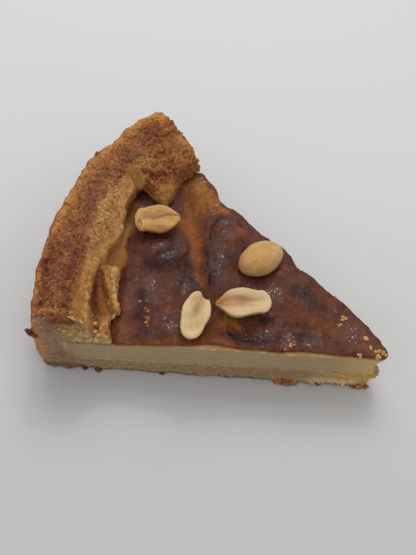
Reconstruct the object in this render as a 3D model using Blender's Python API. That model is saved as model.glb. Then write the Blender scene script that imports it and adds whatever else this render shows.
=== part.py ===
# A slice of custard tart: one eighth of a round tart, cut with a knife, with four blanched peanut halves on top.
# The whole tart is baked first, as a case and a filling, and the slice is then cut out of both.
# Metres, +Z up. The slice stands on its base, its near cut faces -Y and its tip points along +X.
import math

import bmesh
import bpy
from mathutils import Euler, Matrix, Vector, noise
from mathutils.bvhtree import BVHTree

# ---- driving dimensions, metres and degrees; the two cuts would meet at x = 0, y = 0 ----
TART_CENTRE = Vector((-0.0173, 0.0115, 0.0))
TART_RADIUS = 0.0868
CUT_ANGLE = 45.3
WALL_THICKNESS = 0.0070
RIM_HEIGHT = 0.0300
BASE_AT_TIP = 0.0092
BASE_AT_WALL = 0.0078
SKIN_HEIGHT = 0.0203
GAP = 0.0003

# The pastry wall from the table up: height, and how far it stands in from the tart's radius.
WALL_ROWS = (
    (0.0000, 0.0016), (0.0035, 0.0009), (0.0070, 0.0004), (0.0110, 0.0001), (0.0150, 0.0000),
    (0.0190, 0.0000), (0.0225, 0.0000), (0.0258, 0.0001), (0.0281, 0.0003), (0.0296, 0.0010),
)
RIM_ROWS = 10          # rows over the top of the rim, shoulder to lip
LIP_ROWS = 3           # rows down the face of the lip
SHELF_ROWS = 10        # rows beyond the lip
SHELF_STEP = 0.0012
HIDDEN_TOP = 0.0140    # the case's blank inner floor, well under the skin, which the filling's space cuts away

FINE_SWEEP = (-13.0, 55.0)   # degrees round the tart's centre that the slice can show
FINE_STEPS = 62
COARSE_STEPS = 12

# Swellings and hollows of the baked skin: x, y, radius, height.
SKIN_SWELLS = (
    (-0.0525, -0.0010, 0.0075, 0.0026),
    (-0.0285, -0.0010, 0.0040, 0.0020),
    (-0.0215, 0.0020, 0.0050, 0.0009),
    (-0.0800, -0.0020, 0.0100, -0.0018),
    (-0.0695, 0.0270, 0.0085, 0.0024),
    (-0.0725, 0.0120, 0.0085, 0.0012),
    (-0.0612, 0.0160, 0.0038, 0.0013),
    (-0.0535, 0.0225, 0.0060, 0.0018),
    (-0.0515, 0.0350, 0.0070, 0.0022),
    (-0.0310, 0.0150, 0.0080, 0.0016),
    (-0.0400, -0.0005, 0.0050, 0.0008),
    (-0.0455, 0.0055, 0.0045, -0.0016),
    (-0.0790, 0.0460, 0.0050, -0.0012),
    (-0.0120, 0.0040, 0.0060, 0.0006),
)
# Valleys of the skin: points along each, width, depth.
SKIN_VALLEYS = (
    (((-0.0640, 0.0500), (-0.0612, 0.0400), (-0.0600, 0.0270), (-0.0585, 0.0180), (-0.0560, 0.0090)),
     0.0030, 0.0019),
    (((-0.0370, 0.0150), (-0.0300, 0.0085), (-0.0220, 0.0050)), 0.0022, 0.0009),
)
WRINKLE = 0.0005
WRINKLE_LENGTH = 0.0055
SKIN_CELL = 0.0018

# Scallops of the far cut: distance from the point of the cuts, depth, width.
FAR_CUT_DENTS = (
    (0.0167, -0.0007, 0.0075), (0.0248, -0.0008, 0.0033), (0.0398, 0.0009, 0.0026), (0.0487, -0.0009, 0.0024),
    (0.0600, 0.0013, 0.0080), (0.0722, 0.0031, 0.0036), (0.0875, 0.0013, 0.0011), (0.0845, -0.0006, 0.0015),
    (0.1010, -0.0014, 0.0075),
)
# How far short of the point of the cuts the tip ends, level by level from the table.
TIP_LEVELS = (
    (-0.0020, 0.0062), (0.0000, 0.0062), (0.0025, 0.0053), (0.0047, 0.0057), (0.0058, 0.0039), (0.0088, 0.0035),
    (0.0098, 0.0052), (0.0130, 0.0058), (0.0170, 0.0050), (0.0190, 0.0038), (0.0210, 0.0034), (0.0400, 0.0034),
)
TIP_ROUNDING = 0.0030
CUT_STEP = 0.0026
BLADE_REACH = 0.1250

# The lip crumbled a little at the near cut: the plane of the break leans back from the cut.
BREAK_FOOT = Vector((-0.0894, -0.0001, 0.0184))
BREAK_SIZE = Vector((0.0146, 0.0200, 0.0200))
BREAK_LEAN = 2.5

# Peanut halves: centre x and y, length, width, depth, turn, pitch, roll, flat face up, and how much the ends narrow.
NUTS = {
    "nut_1": dict(at=(-0.0719, 0.0384), size=(0.0138, 0.0088, 0.0046), turn=8, pitch=2, roll=18,
                  flat_up=True, point=0.35, groove=0.0004, notch=0.0, waist=0.0),
    "nut_2": dict(at=(-0.0406, 0.0290), size=(0.0147, 0.0104, 0.0052), turn=36, pitch=0, roll=0,
                  flat_up=False, point=0.22, groove=0.0, notch=0.0, waist=0.0),
    "nut_3": dict(at=(-0.0590, 0.0074), size=(0.0149, 0.0084, 0.0042), turn=78, pitch=-3, roll=4,
                  flat_up=True, point=0.10, groove=0.0006, notch=0.0020, waist=0.0),
    "nut_4": dict(at=(-0.0456, 0.0126), size=(0.0161, 0.0097, 0.0041), turn=187, pitch=0, roll=-6,
                  flat_up=True, point=0.42, groove=0.0007, notch=0.0, waist=0.0009),
}
NUT_SEGMENTS = 26
NUT_RINGS = 15

# name: colour (linear), roughness
FINISHES = {
    "crust": ((0.30, 0.135, 0.052), 0.85),
    "custard": ((0.12, 0.045, 0.022), 0.30),
    "nut_1": ((0.52, 0.29, 0.12), 0.50),
    "nut_2": ((0.52, 0.31, 0.13), 0.45),
    "nut_3": ((0.56, 0.38, 0.19), 0.50),
    "nut_4": ((0.57, 0.37, 0.19), 0.50),
}


def swell(distance, reach):
    """1 at no distance, falling off smoothly past reach."""
    return math.exp(-((distance / reach) ** 2))


def ramp(low, high, value):
    """0 below low, 1 above high, smooth between them."""
    t = min(1.0, max(0.0, (value - low) / (high - low)))
    return t * t * (3 - 2 * t)


def mix(a, b, share):
    return a + (b - a) * share


def to_tart(x, y):
    """Degrees round the tart's centre from -X towards +Y, and the distance in from its radius."""
    dx, dy = x - TART_CENTRE.x, y - TART_CENTRE.y
    return math.degrees(math.atan2(dy, -dx)), TART_RADIUS - math.hypot(dx, dy)


def from_tart(degrees, inset):
    a = math.radians(degrees)
    r = TART_RADIUS - inset
    return TART_CENTRE.x - r * math.cos(a), TART_CENTRE.y + r * math.sin(a)


# ---- pastry case ----
def lip_inset(degrees):
    """Where the folded rim ends over the filling, in from the tart's radius."""
    wide = 0.0039 * swell(degrees - 17.5, 7.0) - 0.0012 * swell(degrees - 31.5, 4.0)
    ragged = 0.0006 * noise.noise(Vector((degrees * 0.42, 3.1, 0.0)))
    return 0.0149 + wide - 0.0045 * ramp(35.0, 43.0, degrees) + ragged


def rim_top(degrees, share):
    """Height of the rim's top; share runs from 0 at the shoulder to 1 at the lip."""
    near_end = 0.0012 * swell(degrees + 8.0, 9.0)
    crown = 0.0006 * math.sin(math.pi * min(1.0, share * 1.4))
    fall = mix(0.0034, 0.0010, ramp(34.0, 42.0, degrees)) * ramp(0.62, 1.0, share)
    return RIM_HEIGHT - 0.0002 + near_end + crown - fall


def shelf_top(degrees, inset):
    """Height of what lies beyond the lip: a low shelf with an upright flap, and an ear of pastry on the filling."""
    low = ramp(12.5, 8.0, degrees) * ramp(0.0222, 0.0208, inset)
    height = mix(HIDDEN_TOP, SKIN_HEIGHT + 0.0004, low)

    ridge = 0.0218 - 0.00034 * degrees
    run = ramp(-4.6, -3.4, degrees) * ramp(14.0, 9.0, degrees)
    side = mix(0.0014, 0.0030, ramp(0.0, 10.0, degrees))
    flap = run * ramp(side * 1.5, side * 0.75, abs(inset - ridge))
    height = mix(height, 0.0240, flap)

    left = ramp(33.2, 35.4, degrees + (inset - 0.0140) * 260.0)
    edge = 0.0252 - 0.0030 * ramp(33.0, 44.0, degrees)
    ear = left * ramp(edge + 0.0004, edge - 0.0008, inset)
    ear_height = mix(0.0262, 0.0292, ramp(36.0, 46.0, degrees)) - 0.21 * max(0.0, inset - 0.0150)
    ear_height += 0.0007 * noise.noise(Vector((degrees * 0.3, inset * 350.0, 7.7)))
    height = mix(height, ear_height, ear)
    crease = 0.0016 * swell(inset - lip_inset(degrees) - 0.0012, 0.0011) * swell(degrees - 36.5, 3.2)
    return height - crease * ear


def case_section(degrees):
    """One section of the case, from under the tart's centre round the wall and the rim to its inner floor."""
    section = [(TART_RADIUS, 0.0)]
    section += [(inset, height) for height, inset in WALL_ROWS]
    lip = lip_inset(degrees)
    shoulder = WALL_ROWS[-1][1]
    for row in range(1, RIM_ROWS + 1):
        share = row / RIM_ROWS
        section.append((mix(shoulder, lip, share), rim_top(degrees, share)))
    foot_inset = lip + SHELF_STEP
    foot = shelf_top(degrees, foot_inset)
    undercut = 0.0020 * ramp(9.0, 14.0, degrees) * ramp(33.0, 29.0, degrees)
    for row in range(1, LIP_ROWS + 1):
        share = row / (LIP_ROWS + 1)
        section.append((mix(lip, foot_inset, share) - undercut * share, mix(section[-1][1], foot, share)))
    for row in range(1, SHELF_ROWS + 1):
        inset = lip + SHELF_STEP * row
        section.append((inset, shelf_top(degrees, inset)))
    section.append((TART_RADIUS, HIDDEN_TOP))
    return section


def crag(point, degrees, inset, height):
    """How far the baked surface stands out at a point: coarse on top, finer on the wall, flat underneath."""
    coarse = noise.fractal(point * 330.0, 1.0, 2.0, 2)
    fine = noise.noise(point * 900.0)
    on_top = ramp(0.0250, 0.0290, height) * ramp(1.02, 0.80, inset / lip_inset(degrees))
    on_shelf = ramp(0.0190, 0.0205, height) * (1.0 - on_top)
    on_wall = ramp(0.0, 0.0030, height) * (1.0 - ramp(0.0012, 0.0030, inset))
    amount = 0.00075 * on_top + 0.0004 * on_shelf + 0.00035 * on_wall
    return amount * (coarse + 0.5 * fine)


def outline_wave(degrees):
    """How far the edge stands out of the tart's round: it bulges in two places, with a crumb and a notch between."""
    wide = 0.0007 + 0.0005 * ramp(-4.0, 22.0, degrees) + 0.00025 * noise.noise(Vector((degrees * 0.3, 0.0, 5.2)))
    bulge = 0.0012 * swell(degrees - 30.5, 4.0) + 0.0008 * swell(degrees - 41.5, 2.2)
    dent = 0.0005 * swell(degrees - 14.0, 1.5)
    notch = 0.0007 * swell(degrees - 33.6, 0.7) - 0.0006 * swell(degrees - 32.2, 0.9)
    return wide + bulge - dent + notch


def bake_case():
    bm = bmesh.new()
    row_of = bm.verts.layers.int.new("row")
    plain = case_section(0.0)
    start = [bm.verts.new((-(TART_RADIUS - inset), 0.0, height)) for inset, height in plain]
    for row, vert in enumerate(start):
        vert[row_of] = row
    edges = [bm.edges.new(pair) for pair in zip(start, start[1:])]
    turn = Matrix.Rotation(math.radians(-FINE_SWEEP[0]), 3, "Z")
    bmesh.ops.rotate(bm, verts=start, matrix=turn)
    fine = math.radians(FINE_SWEEP[1] - FINE_SWEEP[0])
    for angle, steps in ((fine, FINE_STEPS), (2 * math.pi - fine, COARSE_STEPS)):
        swept = bmesh.ops.spin(bm, geom=start + edges, cent=(0, 0, 0), axis=(0, 0, -1), angle=angle, steps=steps)
        start = [g for g in swept["geom_last"] if isinstance(g, bmesh.types.BMVert)]
        edges = [g for g in swept["geom_last"] if isinstance(g, bmesh.types.BMEdge)]
    bmesh.ops.remove_doubles(bm, verts=bm.verts, dist=1e-6)
    for vert in bm.verts:
        if math.hypot(vert.co.x, vert.co.y) < 1e-6:
            vert.co += TART_CENTRE
            continue
        degrees = math.degrees(math.atan2(vert.co.y, -vert.co.x))
        inset, height = case_section(degrees)[vert[row_of]]
        out = outline_wave(degrees) * ramp(0.0040, 0.0, inset)
        x, y = from_tart(degrees, inset - out)
        vert.co = (x, y, height)
    bmesh.ops.recalc_face_normals(bm, faces=bm.faces)
    bm.normal_update()
    shifts = {}
    for vert in bm.verts:
        degrees, inset = to_tart(vert.co.x, vert.co.y)
        shifts[vert] = vert.normal * crag(vert.co, degrees, inset, vert.co.z)
    for vert, shift in shifts.items():
        vert.co += shift
    return new_object("case", bm)


# ---- custard filling ----
def valley_distance(x, y, points):
    here = Vector((x, y))
    nearest = 1.0
    for a, b in zip(points, points[1:]):
        a, b = Vector(a), Vector(b)
        t = min(1.0, max(0.0, (here - a).dot(b - a) / (b - a).length_squared))
        nearest = min(nearest, (here - a.lerp(b, t)).length)
    return nearest


def skin_height(x, y):
    """Height of the baked skin over the table."""
    height = SKIN_HEIGHT
    for cx, cy, radius, rise in SKIN_SWELLS:
        height += rise * swell(math.hypot(x - cx, y - cy), radius)
    for points, width, depth in SKIN_VALLEYS:
        height -= depth * swell(valley_distance(x, y, points), width)
    height += WRINKLE * noise.fractal(Vector((x, y, 0.3)) / WRINKLE_LENGTH, 1.0, 2.0, 2)
    degrees, to_wall = to_tart(x, y)
    under_shelf = 0.0014 * ramp(0.0235, 0.0205, to_wall) * ramp(15.0, 11.0, degrees)
    return height - under_shelf - 0.0012 * ramp(0.0200, 0.0120, to_wall)


def base_height(x, y):
    return mix(BASE_AT_WALL, BASE_AT_TIP, ramp(0.080, 0.030, math.hypot(x, y)))


def bake_filling():
    """A block with the skin's relief on top, cut to a drum that fills the case."""
    bm = bmesh.new()
    low = Vector((-0.1050, -0.0060, 0.0))
    high = Vector((0.0060, 0.0840, 0.0))
    across = high - low
    cells = [round(across.x / SKIN_CELL), round(across.y / SKIN_CELL)]
    top = bmesh.ops.create_grid(bm, x_segments=cells[0], y_segments=cells[1], size=0.5)["verts"]
    bmesh.ops.scale(bm, verts=top, vec=(across.x, across.y, 1.0))
    bmesh.ops.translate(bm, verts=top, vec=(low + high) / 2)
    rim = [e for e in bm.edges if e.is_boundary]
    walls = bmesh.ops.extrude_edge_only(bm, edges=rim)["geom"]
    foot = [g for g in walls if isinstance(g, bmesh.types.BMVert)]
    foot_edges = [g for g in walls if isinstance(g, bmesh.types.BMEdge) and g.is_boundary]
    bmesh.ops.contextual_create(bm, geom=foot_edges)
    for vert in top:
        vert.co.z = skin_height(vert.co.x, vert.co.y)
    for vert in foot:
        vert.co.z = base_height(vert.co.x, vert.co.y)
    bmesh.ops.recalc_face_normals(bm, faces=bm.faces)
    filling = new_object("custard", bm)

    bm = bmesh.new()
    bmesh.ops.create_cone(bm, cap_ends=True, segments=110, radius1=TART_RADIUS - WALL_THICKNESS - 0.0012,
                          radius2=TART_RADIUS - WALL_THICKNESS + 0.0002, depth=0.040)
    bmesh.ops.translate(bm, verts=bm.verts, vec=TART_CENTRE + Vector((0.0, 0.0, 0.020)))
    combine(filling, new_object("drum", bm), "INTERSECT")
    return filling


# ---- the knife ----
def far_cut_point(distance, level):
    """A point of the far cut, which is scalloped where the blade was pressed down."""
    sag = sum(depth * swell(distance - at, width) for at, depth, width in FAR_CUT_DENTS)
    torn = 0.0005 * noise.noise(Vector((distance * 700.0, level * 260.0, 1.7)))
    sag += torn * ramp(0.0050, 0.0150, distance)
    a = math.radians(CUT_ANGLE)
    along = Vector((-math.cos(a), math.sin(a), 0.0))
    inward = Vector((-math.sin(a), -math.cos(a), 0.0))
    return along * distance + inward * sag


def slice_outline(level, tip):
    """The slice seen from above at one level, round from the near cut's outer end."""
    a = math.radians(CUT_ANGLE)
    outline = [Vector((-BLADE_REACH, 0.0, 0.0))]
    centre = Vector((-tip - TIP_ROUNDING, TIP_ROUNDING * 0.55, 0.0))
    for degrees in (-90.0, -50.0, -15.0, 20.0, 50.0):
        b = math.radians(degrees)
        point = centre + TIP_ROUNDING * Vector((math.cos(b), math.sin(b), 0.0))
        outline.append(Vector((point.x, max(0.0, point.y), 0.0)))
    start = (tip + TIP_ROUNDING) * 1.25
    steps = int((BLADE_REACH - 0.0125) / CUT_STEP)
    for step in range(steps + 1):
        outline.append(far_cut_point(mix(start, BLADE_REACH, step / steps), level))
    outline.append(Vector((-BLADE_REACH, BLADE_REACH * math.sin(a), 0.0)))
    for point in outline:
        point.z = level
    return outline


def slice_block():
    """Everything between the two cuts, as one closed body."""
    bm = bmesh.new()
    ring = [bm.verts.new(point) for point in slice_outline(*TIP_LEVELS[0])]
    edges = [bm.edges.new((ring[i - 1], ring[i])) for i in range(len(ring))]
    bmesh.ops.contextual_create(bm, geom=edges)
    for level, tip in TIP_LEVELS[1:]:
        grown = bmesh.ops.extrude_edge_only(bm, edges=edges)["geom"]
        ring_after = {}
        for face in (g for g in grown if isinstance(g, bmesh.types.BMFace)):
            for edge in face.edges:
                a, b = edge.verts
                if (a in ring) != (b in ring):
                    ring_after[a if a in ring else b] = b if a in ring else a
        ring = [ring_after[vert] for vert in ring]
        for vert, point in zip(ring, slice_outline(level, tip)):
            vert.co = point
        edges = [bm.edges.get((ring[i - 1], ring[i])) for i in range(len(ring))]
    bmesh.ops.contextual_create(bm, geom=edges)
    bmesh.ops.recalc_face_normals(bm, faces=bm.faces)
    return new_object("slice_block", bm)


def broken_corner():
    """What crumbled away from the lip at the near cut."""
    bm = bmesh.new()
    bmesh.ops.create_cube(bm, size=1.0)
    bmesh.ops.subdivide_edges(bm, edges=bm.edges, cuts=7, use_grid_fill=True)
    bmesh.ops.translate(bm, verts=bm.verts, vec=(0.0, -0.5, 0.5))
    bmesh.ops.scale(bm, verts=bm.verts, vec=BREAK_SIZE)
    bmesh.ops.rotate(bm, verts=bm.verts, matrix=Matrix.Rotation(math.radians(-BREAK_LEAN), 3, "X"))
    for vert in bm.verts:
        vert.co += 0.0006 * noise.noise_vector(vert.co * 320.0)
    bmesh.ops.translate(bm, verts=bm.verts, vec=BREAK_FOOT)
    bmesh.ops.recalc_face_normals(bm, faces=bm.faces)
    return new_object("broken_corner", bm)


# ---- peanut halves ----
def peanut_half(name, size, point, groove, notch, waist, flat_up):
    """One blanched half, its long axis along X with the germ end at +X, its flat face up or down."""
    length, width, depth = size
    bm = bmesh.new()
    bmesh.ops.create_uvsphere(bm, u_segments=NUT_SEGMENTS, v_segments=NUT_RINGS, radius=1.0)
    bmesh.ops.rotate(bm, verts=bm.verts, matrix=Matrix.Rotation(math.radians(90.0), 3, "Y"))
    for vert in bm.verts:
        along, side, up = vert.co
        narrow = 1.0 - point * ramp(0.1, 1.0, along) * 0.55 - 0.06 * ramp(0.0, -1.0, along)
        pinch = 1.0 - (waist / width) * 2.0 * swell(along + 0.15, 0.35) * (1.0 if side > 0 else 0.3)
        y = side * narrow * pinch * width / 2
        if up < 0:
            z = -((-up) ** 0.86) * depth * (1.0 - 0.18 * ramp(0.2, 1.0, along))
        else:
            z = 0.00075 * up ** 0.55
            z -= groove * swell(y, 0.0011) * ramp(1.0, 0.55, abs(along))
        x = along * length / 2
        x -= notch * swell(y + width * 0.14, width * 0.13) * ramp(0.45, 0.95, along)
        bulge = 0.00012 * noise.noise(vert.co * 2.3)
        vert.co = (x, y + bulge, z + bulge)
    if not flat_up:
        bmesh.ops.rotate(bm, verts=bm.verts, matrix=Matrix.Rotation(math.pi, 3, "X"))
    bmesh.ops.recalc_face_normals(bm, faces=bm.faces)
    return new_object(name, bm)


def lay_down(nut, at, turn, pitch, roll, below):
    """Turns a nut, and lowers it until its closest point is one gap above the pieces below it."""
    nut.rotation_euler = Euler((math.radians(roll), math.radians(pitch), math.radians(turn)), "XYZ")
    drop_from = 0.060
    turned = nut.rotation_euler.to_matrix()
    clearance = drop_from
    for vert in nut.data.vertices:
        point = turned @ vert.co + Vector((at[0], at[1], drop_from))
        for tree in below:
            hit = tree.ray_cast(point, Vector((0.0, 0.0, -1.0)))
            if hit[0] is not None:
                clearance = min(clearance, hit[3])
    nut.location = (at[0], at[1], drop_from - clearance + GAP * 1.5)


# ---- shared steps ----
def new_object(name, bm):
    mesh = bpy.data.meshes.new(name)
    bm.to_mesh(mesh)
    bm.free()
    obj = bpy.data.objects.new(name, mesh)
    bpy.context.scene.collection.objects.link(obj)
    return obj


def remove(obj):
    bpy.data.objects.remove(obj, do_unlink=True)


def combine(obj, tool, operation):
    """Applies a Boolean of obj with tool, and removes the tool."""
    step = obj.modifiers.new(operation.lower(), "BOOLEAN")
    step.operation = operation
    step.solver = "EXACT"
    step.object = tool
    bpy.context.view_layer.update()
    graph = bpy.context.evaluated_depsgraph_get()
    mesh = bpy.data.meshes.new_from_object(obj.evaluated_get(graph))
    obj.modifiers.clear()
    obj.data = mesh
    remove(tool)


def tidy(obj):
    """Welds what the cuts left closer than a hair, and closes the surface."""
    bm = bmesh.new()
    bm.from_mesh(obj.data)
    bmesh.ops.remove_doubles(bm, verts=bm.verts, dist=0.00004)
    bmesh.ops.dissolve_degenerate(bm, edges=bm.edges, dist=0.00002)
    bmesh.ops.triangulate(bm, faces=bm.faces)
    bmesh.ops.recalc_face_normals(bm, faces=bm.faces)
    bm.to_mesh(obj.data)
    bm.free()


def grown_copy(obj, margin):
    """A copy whose surface stands out by about margin, for the space that obj lies in."""
    bm = bmesh.new()
    bm.from_mesh(obj.data)
    bm.normal_update()
    for vert, shift in [(vert, vert.normal * margin) for vert in bm.verts]:
        vert.co += shift
    return new_object(obj.name + "_space", bm)


def copy_of(obj):
    twin = obj.copy()
    twin.data = obj.data.copy()
    bpy.context.scene.collection.objects.link(twin)
    return twin


def shade_round(obj, sharp_degrees):
    obj.data.shade_smooth()
    obj.data.set_sharp_from_angle(angle=math.radians(sharp_degrees))


def surface(obj):
    return BVHTree.FromPolygons([v.co for v in obj.data.vertices], [tuple(p.vertices) for p in obj.data.polygons])


def finish(obj):
    colour, roughness = FINISHES[obj.name]
    material = bpy.data.materials.new(obj.name)
    material.use_nodes = True
    shader = material.node_tree.nodes["Principled BSDF"]
    shader.inputs["Base Color"].default_value = (*colour, 1.0)
    shader.inputs["Roughness"].default_value = roughness
    shader.inputs["Metallic"].default_value = 0.0
    obj.data.materials.clear()
    obj.data.materials.append(material)


def centre_slice(pieces):
    """Hangs the pieces from an empty that puts the middle of the slice's footprint at the origin."""
    bpy.context.view_layer.update()
    corners = [o.matrix_world @ v.co for o in pieces for v in o.data.vertices]
    low = Vector([min(c[i] for c in corners) for i in range(3)])
    high = Vector([max(c[i] for c in corners) for i in range(3)])
    middle = bpy.data.objects.new("slice", None)
    bpy.context.scene.collection.objects.link(middle)
    middle.location = (-(low.x + high.x) / 2, -(low.y + high.y) / 2, -low.z)
    for obj in pieces:
        obj.parent = middle


def main():
    for obj in list(bpy.data.objects):
        remove(obj)

    knife = slice_block()
    custard = bake_filling()
    combine(custard, copy_of(knife), "INTERSECT")
    tidy(custard)

    crust = bake_case()
    crust.name = "crust"
    combine(crust, knife, "INTERSECT")
    combine(crust, broken_corner(), "DIFFERENCE")
    combine(crust, grown_copy(custard, GAP * 1.35), "DIFFERENCE")
    tidy(crust)

    below = [surface(custard), surface(crust)]
    nuts = []
    for name, nut in NUTS.items():
        shape = {key: nut[key] for key in ("size", "point", "groove", "notch", "waist", "flat_up")}
        half = peanut_half(name, **shape)
        lay_down(half, nut["at"], nut["turn"], nut["pitch"], nut["roll"], below)
        shade_round(half, 50.0)
        nuts.append(half)

    shade_round(custard, 35.0)
    pieces = [crust, custard, *nuts]
    for obj in pieces:
        finish(obj)
    centre_slice(pieces)


main()
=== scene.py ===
import math
import random
from types import SimpleNamespace

import bmesh
import bpy
import numpy as np
from mathutils import Matrix, Vector, noise
from mathutils.bvhtree import BVHTree


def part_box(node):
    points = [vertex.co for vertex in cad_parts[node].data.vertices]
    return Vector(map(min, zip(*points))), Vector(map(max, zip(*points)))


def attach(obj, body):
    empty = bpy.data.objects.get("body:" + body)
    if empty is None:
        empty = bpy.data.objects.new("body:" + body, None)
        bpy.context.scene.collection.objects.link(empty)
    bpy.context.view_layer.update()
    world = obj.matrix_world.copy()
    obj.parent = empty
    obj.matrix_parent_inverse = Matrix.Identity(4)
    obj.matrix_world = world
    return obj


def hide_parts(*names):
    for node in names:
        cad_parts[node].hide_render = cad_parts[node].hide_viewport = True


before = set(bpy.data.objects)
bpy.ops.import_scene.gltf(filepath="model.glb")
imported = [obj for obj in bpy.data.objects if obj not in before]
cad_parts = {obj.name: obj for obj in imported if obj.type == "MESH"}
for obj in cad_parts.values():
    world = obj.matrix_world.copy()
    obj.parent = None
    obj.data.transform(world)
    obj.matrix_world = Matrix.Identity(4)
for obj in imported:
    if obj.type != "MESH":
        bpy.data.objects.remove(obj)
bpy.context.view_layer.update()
noise.seed_set(7)  # otherwise the grains differ from run to run
print("frame loaded, with the nodes", ", ".join(sorted(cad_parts)))

# The tart that the slice was cut from. Places on it are metres from the point where its two cuts would meet,
# or degrees round the tart from the near end and the distance in from its outer edge.
tart = {
    "radius": 0.0868,
    "centre": (-0.0173, 0.0115),
    "tipShort": 0.0035,       # the tip ends this far short of that point
    "cutAngle": 45.3,
    "baseTopAtTip": 0.0092,
    "baseTopAtWall": 0.0078,
    "skinTop": 0.0196,        # about how high the skin lies, and how low at least
    "skinLowest": 0.0168,
    # how far in the lip of the rim and its outer edge lie: along most of it, the change between two angles,
    # and where it swells: degrees, reach, how far
    "lipInset": 0.0149,
    "lipChange": (35.0, 43.0, -0.0045),
    "lipSwells": ((17.5, 7.0, 0.0039), (31.5, 4.0, -0.0012)),
    "edgeInset": 0.0007,
    "edgeChange": (-4.0, 22.0, 0.0005),
    "edgeSwells": ((30.5, 4.0, 0.0012), (41.5, 2.2, 0.0008), (14.0, 1.5, -0.0005)),
}
custardLow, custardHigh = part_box("custard")
cutsMeet = Vector((custardHigh.x + tart["tipShort"], custardLow.y, 0.0))
farCutAngle = math.radians(tart["cutAngle"])


def ramp(low, high, value):
    t = np.clip((value - low) / (high - low), 0.0, 1.0)
    return t * t * (3.0 - 2.0 * t)


def swell(distance, reach):
    return np.exp(-(distance / reach) ** 2)


def blendTo(a, b, share):
    return a + (b - a) * share


def lumps(points, size, seed, octaves=2):
    away = Vector((seed, -1.7 * seed, 0.6 * seed))
    return np.array([noise.fractal(Vector(p) / size + away, 1.0, 2.0, octaves) for p in points])


# rounded grains: 1 on top of one, 0 in the crease between two
def grains(points, size, seed):
    away = Vector((seed, 0.7 * seed, -1.3 * seed))
    values = []
    for p in points:
        place = Vector(p) / size + away
        near = noise.voronoi(place + 0.45 * noise.noise_vector(place * 1.3))[0]
        values.append(near[1] - near[0])
    return ramp(0.0, 0.55, np.array(values))


def alongRim(degrees, inset, change, swells):
    low, high, rise = change
    inset = inset + rise * ramp(low, high, degrees)
    return inset + sum(size * swell(degrees - middle, reach) for middle, reach, size in swells)


def lipInset(degrees):
    return alongRim(degrees, tart["lipInset"], tart["lipChange"], tart["lipSwells"])


def outerEdge(degrees):
    return alongRim(degrees, tart["edgeInset"], tart["edgeChange"], tart["edgeSwells"])


# where points lie on the tart, and the lumps there that make every edge and mask uneven
def survey(points):
    at = SimpleNamespace(points=points)
    at.x, at.y, at.z = (points - np.array(cutsMeet)).T
    dx, dy = at.x - tart["centre"][0], at.y - tart["centre"][1]
    at.degrees = np.degrees(np.arctan2(dy, -dx))
    at.inset = tart["radius"] - np.hypot(dx, dy)
    at.fromEdge = at.inset + outerEdge(at.degrees)
    at.pastLip = at.inset - lipInset(at.degrees)
    at.fromFarCut = -(at.x * math.sin(farCutAngle) + at.y * math.cos(farCutAngle))
    at.fromTip = np.hypot(at.x, at.y)
    return at


def addLumps(at):
    at.coarse, at.fine = lumps(at.points, 0.0021, 3.0), lumps(at.points, 0.0008, 9.0)
    return at


def towardsFarCut(facing):
    return facing[:, 0] * math.sin(farCutAngle) + facing[:, 1] * math.cos(farCutAngle)


def distanceTo(x, y, line):
    nearest = np.full(len(x), 1.0)
    for (ax, ay), (bx, by) in zip(line, line[1:]):
        dx, dy = bx - ax, by - ay
        t = np.clip(((x - ax) * dx + (y - ay) * dy) / (dx * dx + dy * dy), 0.0, 1.0)
        nearest = np.minimum(nearest, np.hypot(x - ax - t * dx, y - ay - t * dy))
    return nearest


def baseTop(at):
    return blendTo(tart["baseTopAtTip"], tart["baseTopAtWall"], ramp(0.030, 0.080, at.fromTip))


# colours of the near and far cut, on the pastry and the custard alike
cutColours = {
    "cream": (0.385, 0.275, 0.150),
    "yellowCream": (0.580, 0.390, 0.150),
    "crumb": (0.400, 0.262, 0.145),
    "wall": (0.380, 0.238, 0.134),
    "brownWall": (0.300, 0.172, 0.096),
    "edge": (0.640, 0.275, 0.110),
    "topCrust": (0.250, 0.088, 0.036),
    "lipCrumb": (0.520, 0.310, 0.120),
    "flake": (0.640, 0.450, 0.215),
    "soaked": (0.400, 0.245, 0.105),
    "soakedTip": (0.660, 0.380, 0.090),
    "crumbTip": (0.740, 0.550, 0.300),
    "toastedTip": (0.500, 0.240, 0.090),
    "seam": (0.230, 0.150, 0.075),
    "foot": (0.225, 0.112, 0.066),
    "wallFoot": (0.300, 0.125, 0.062),
}


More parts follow.
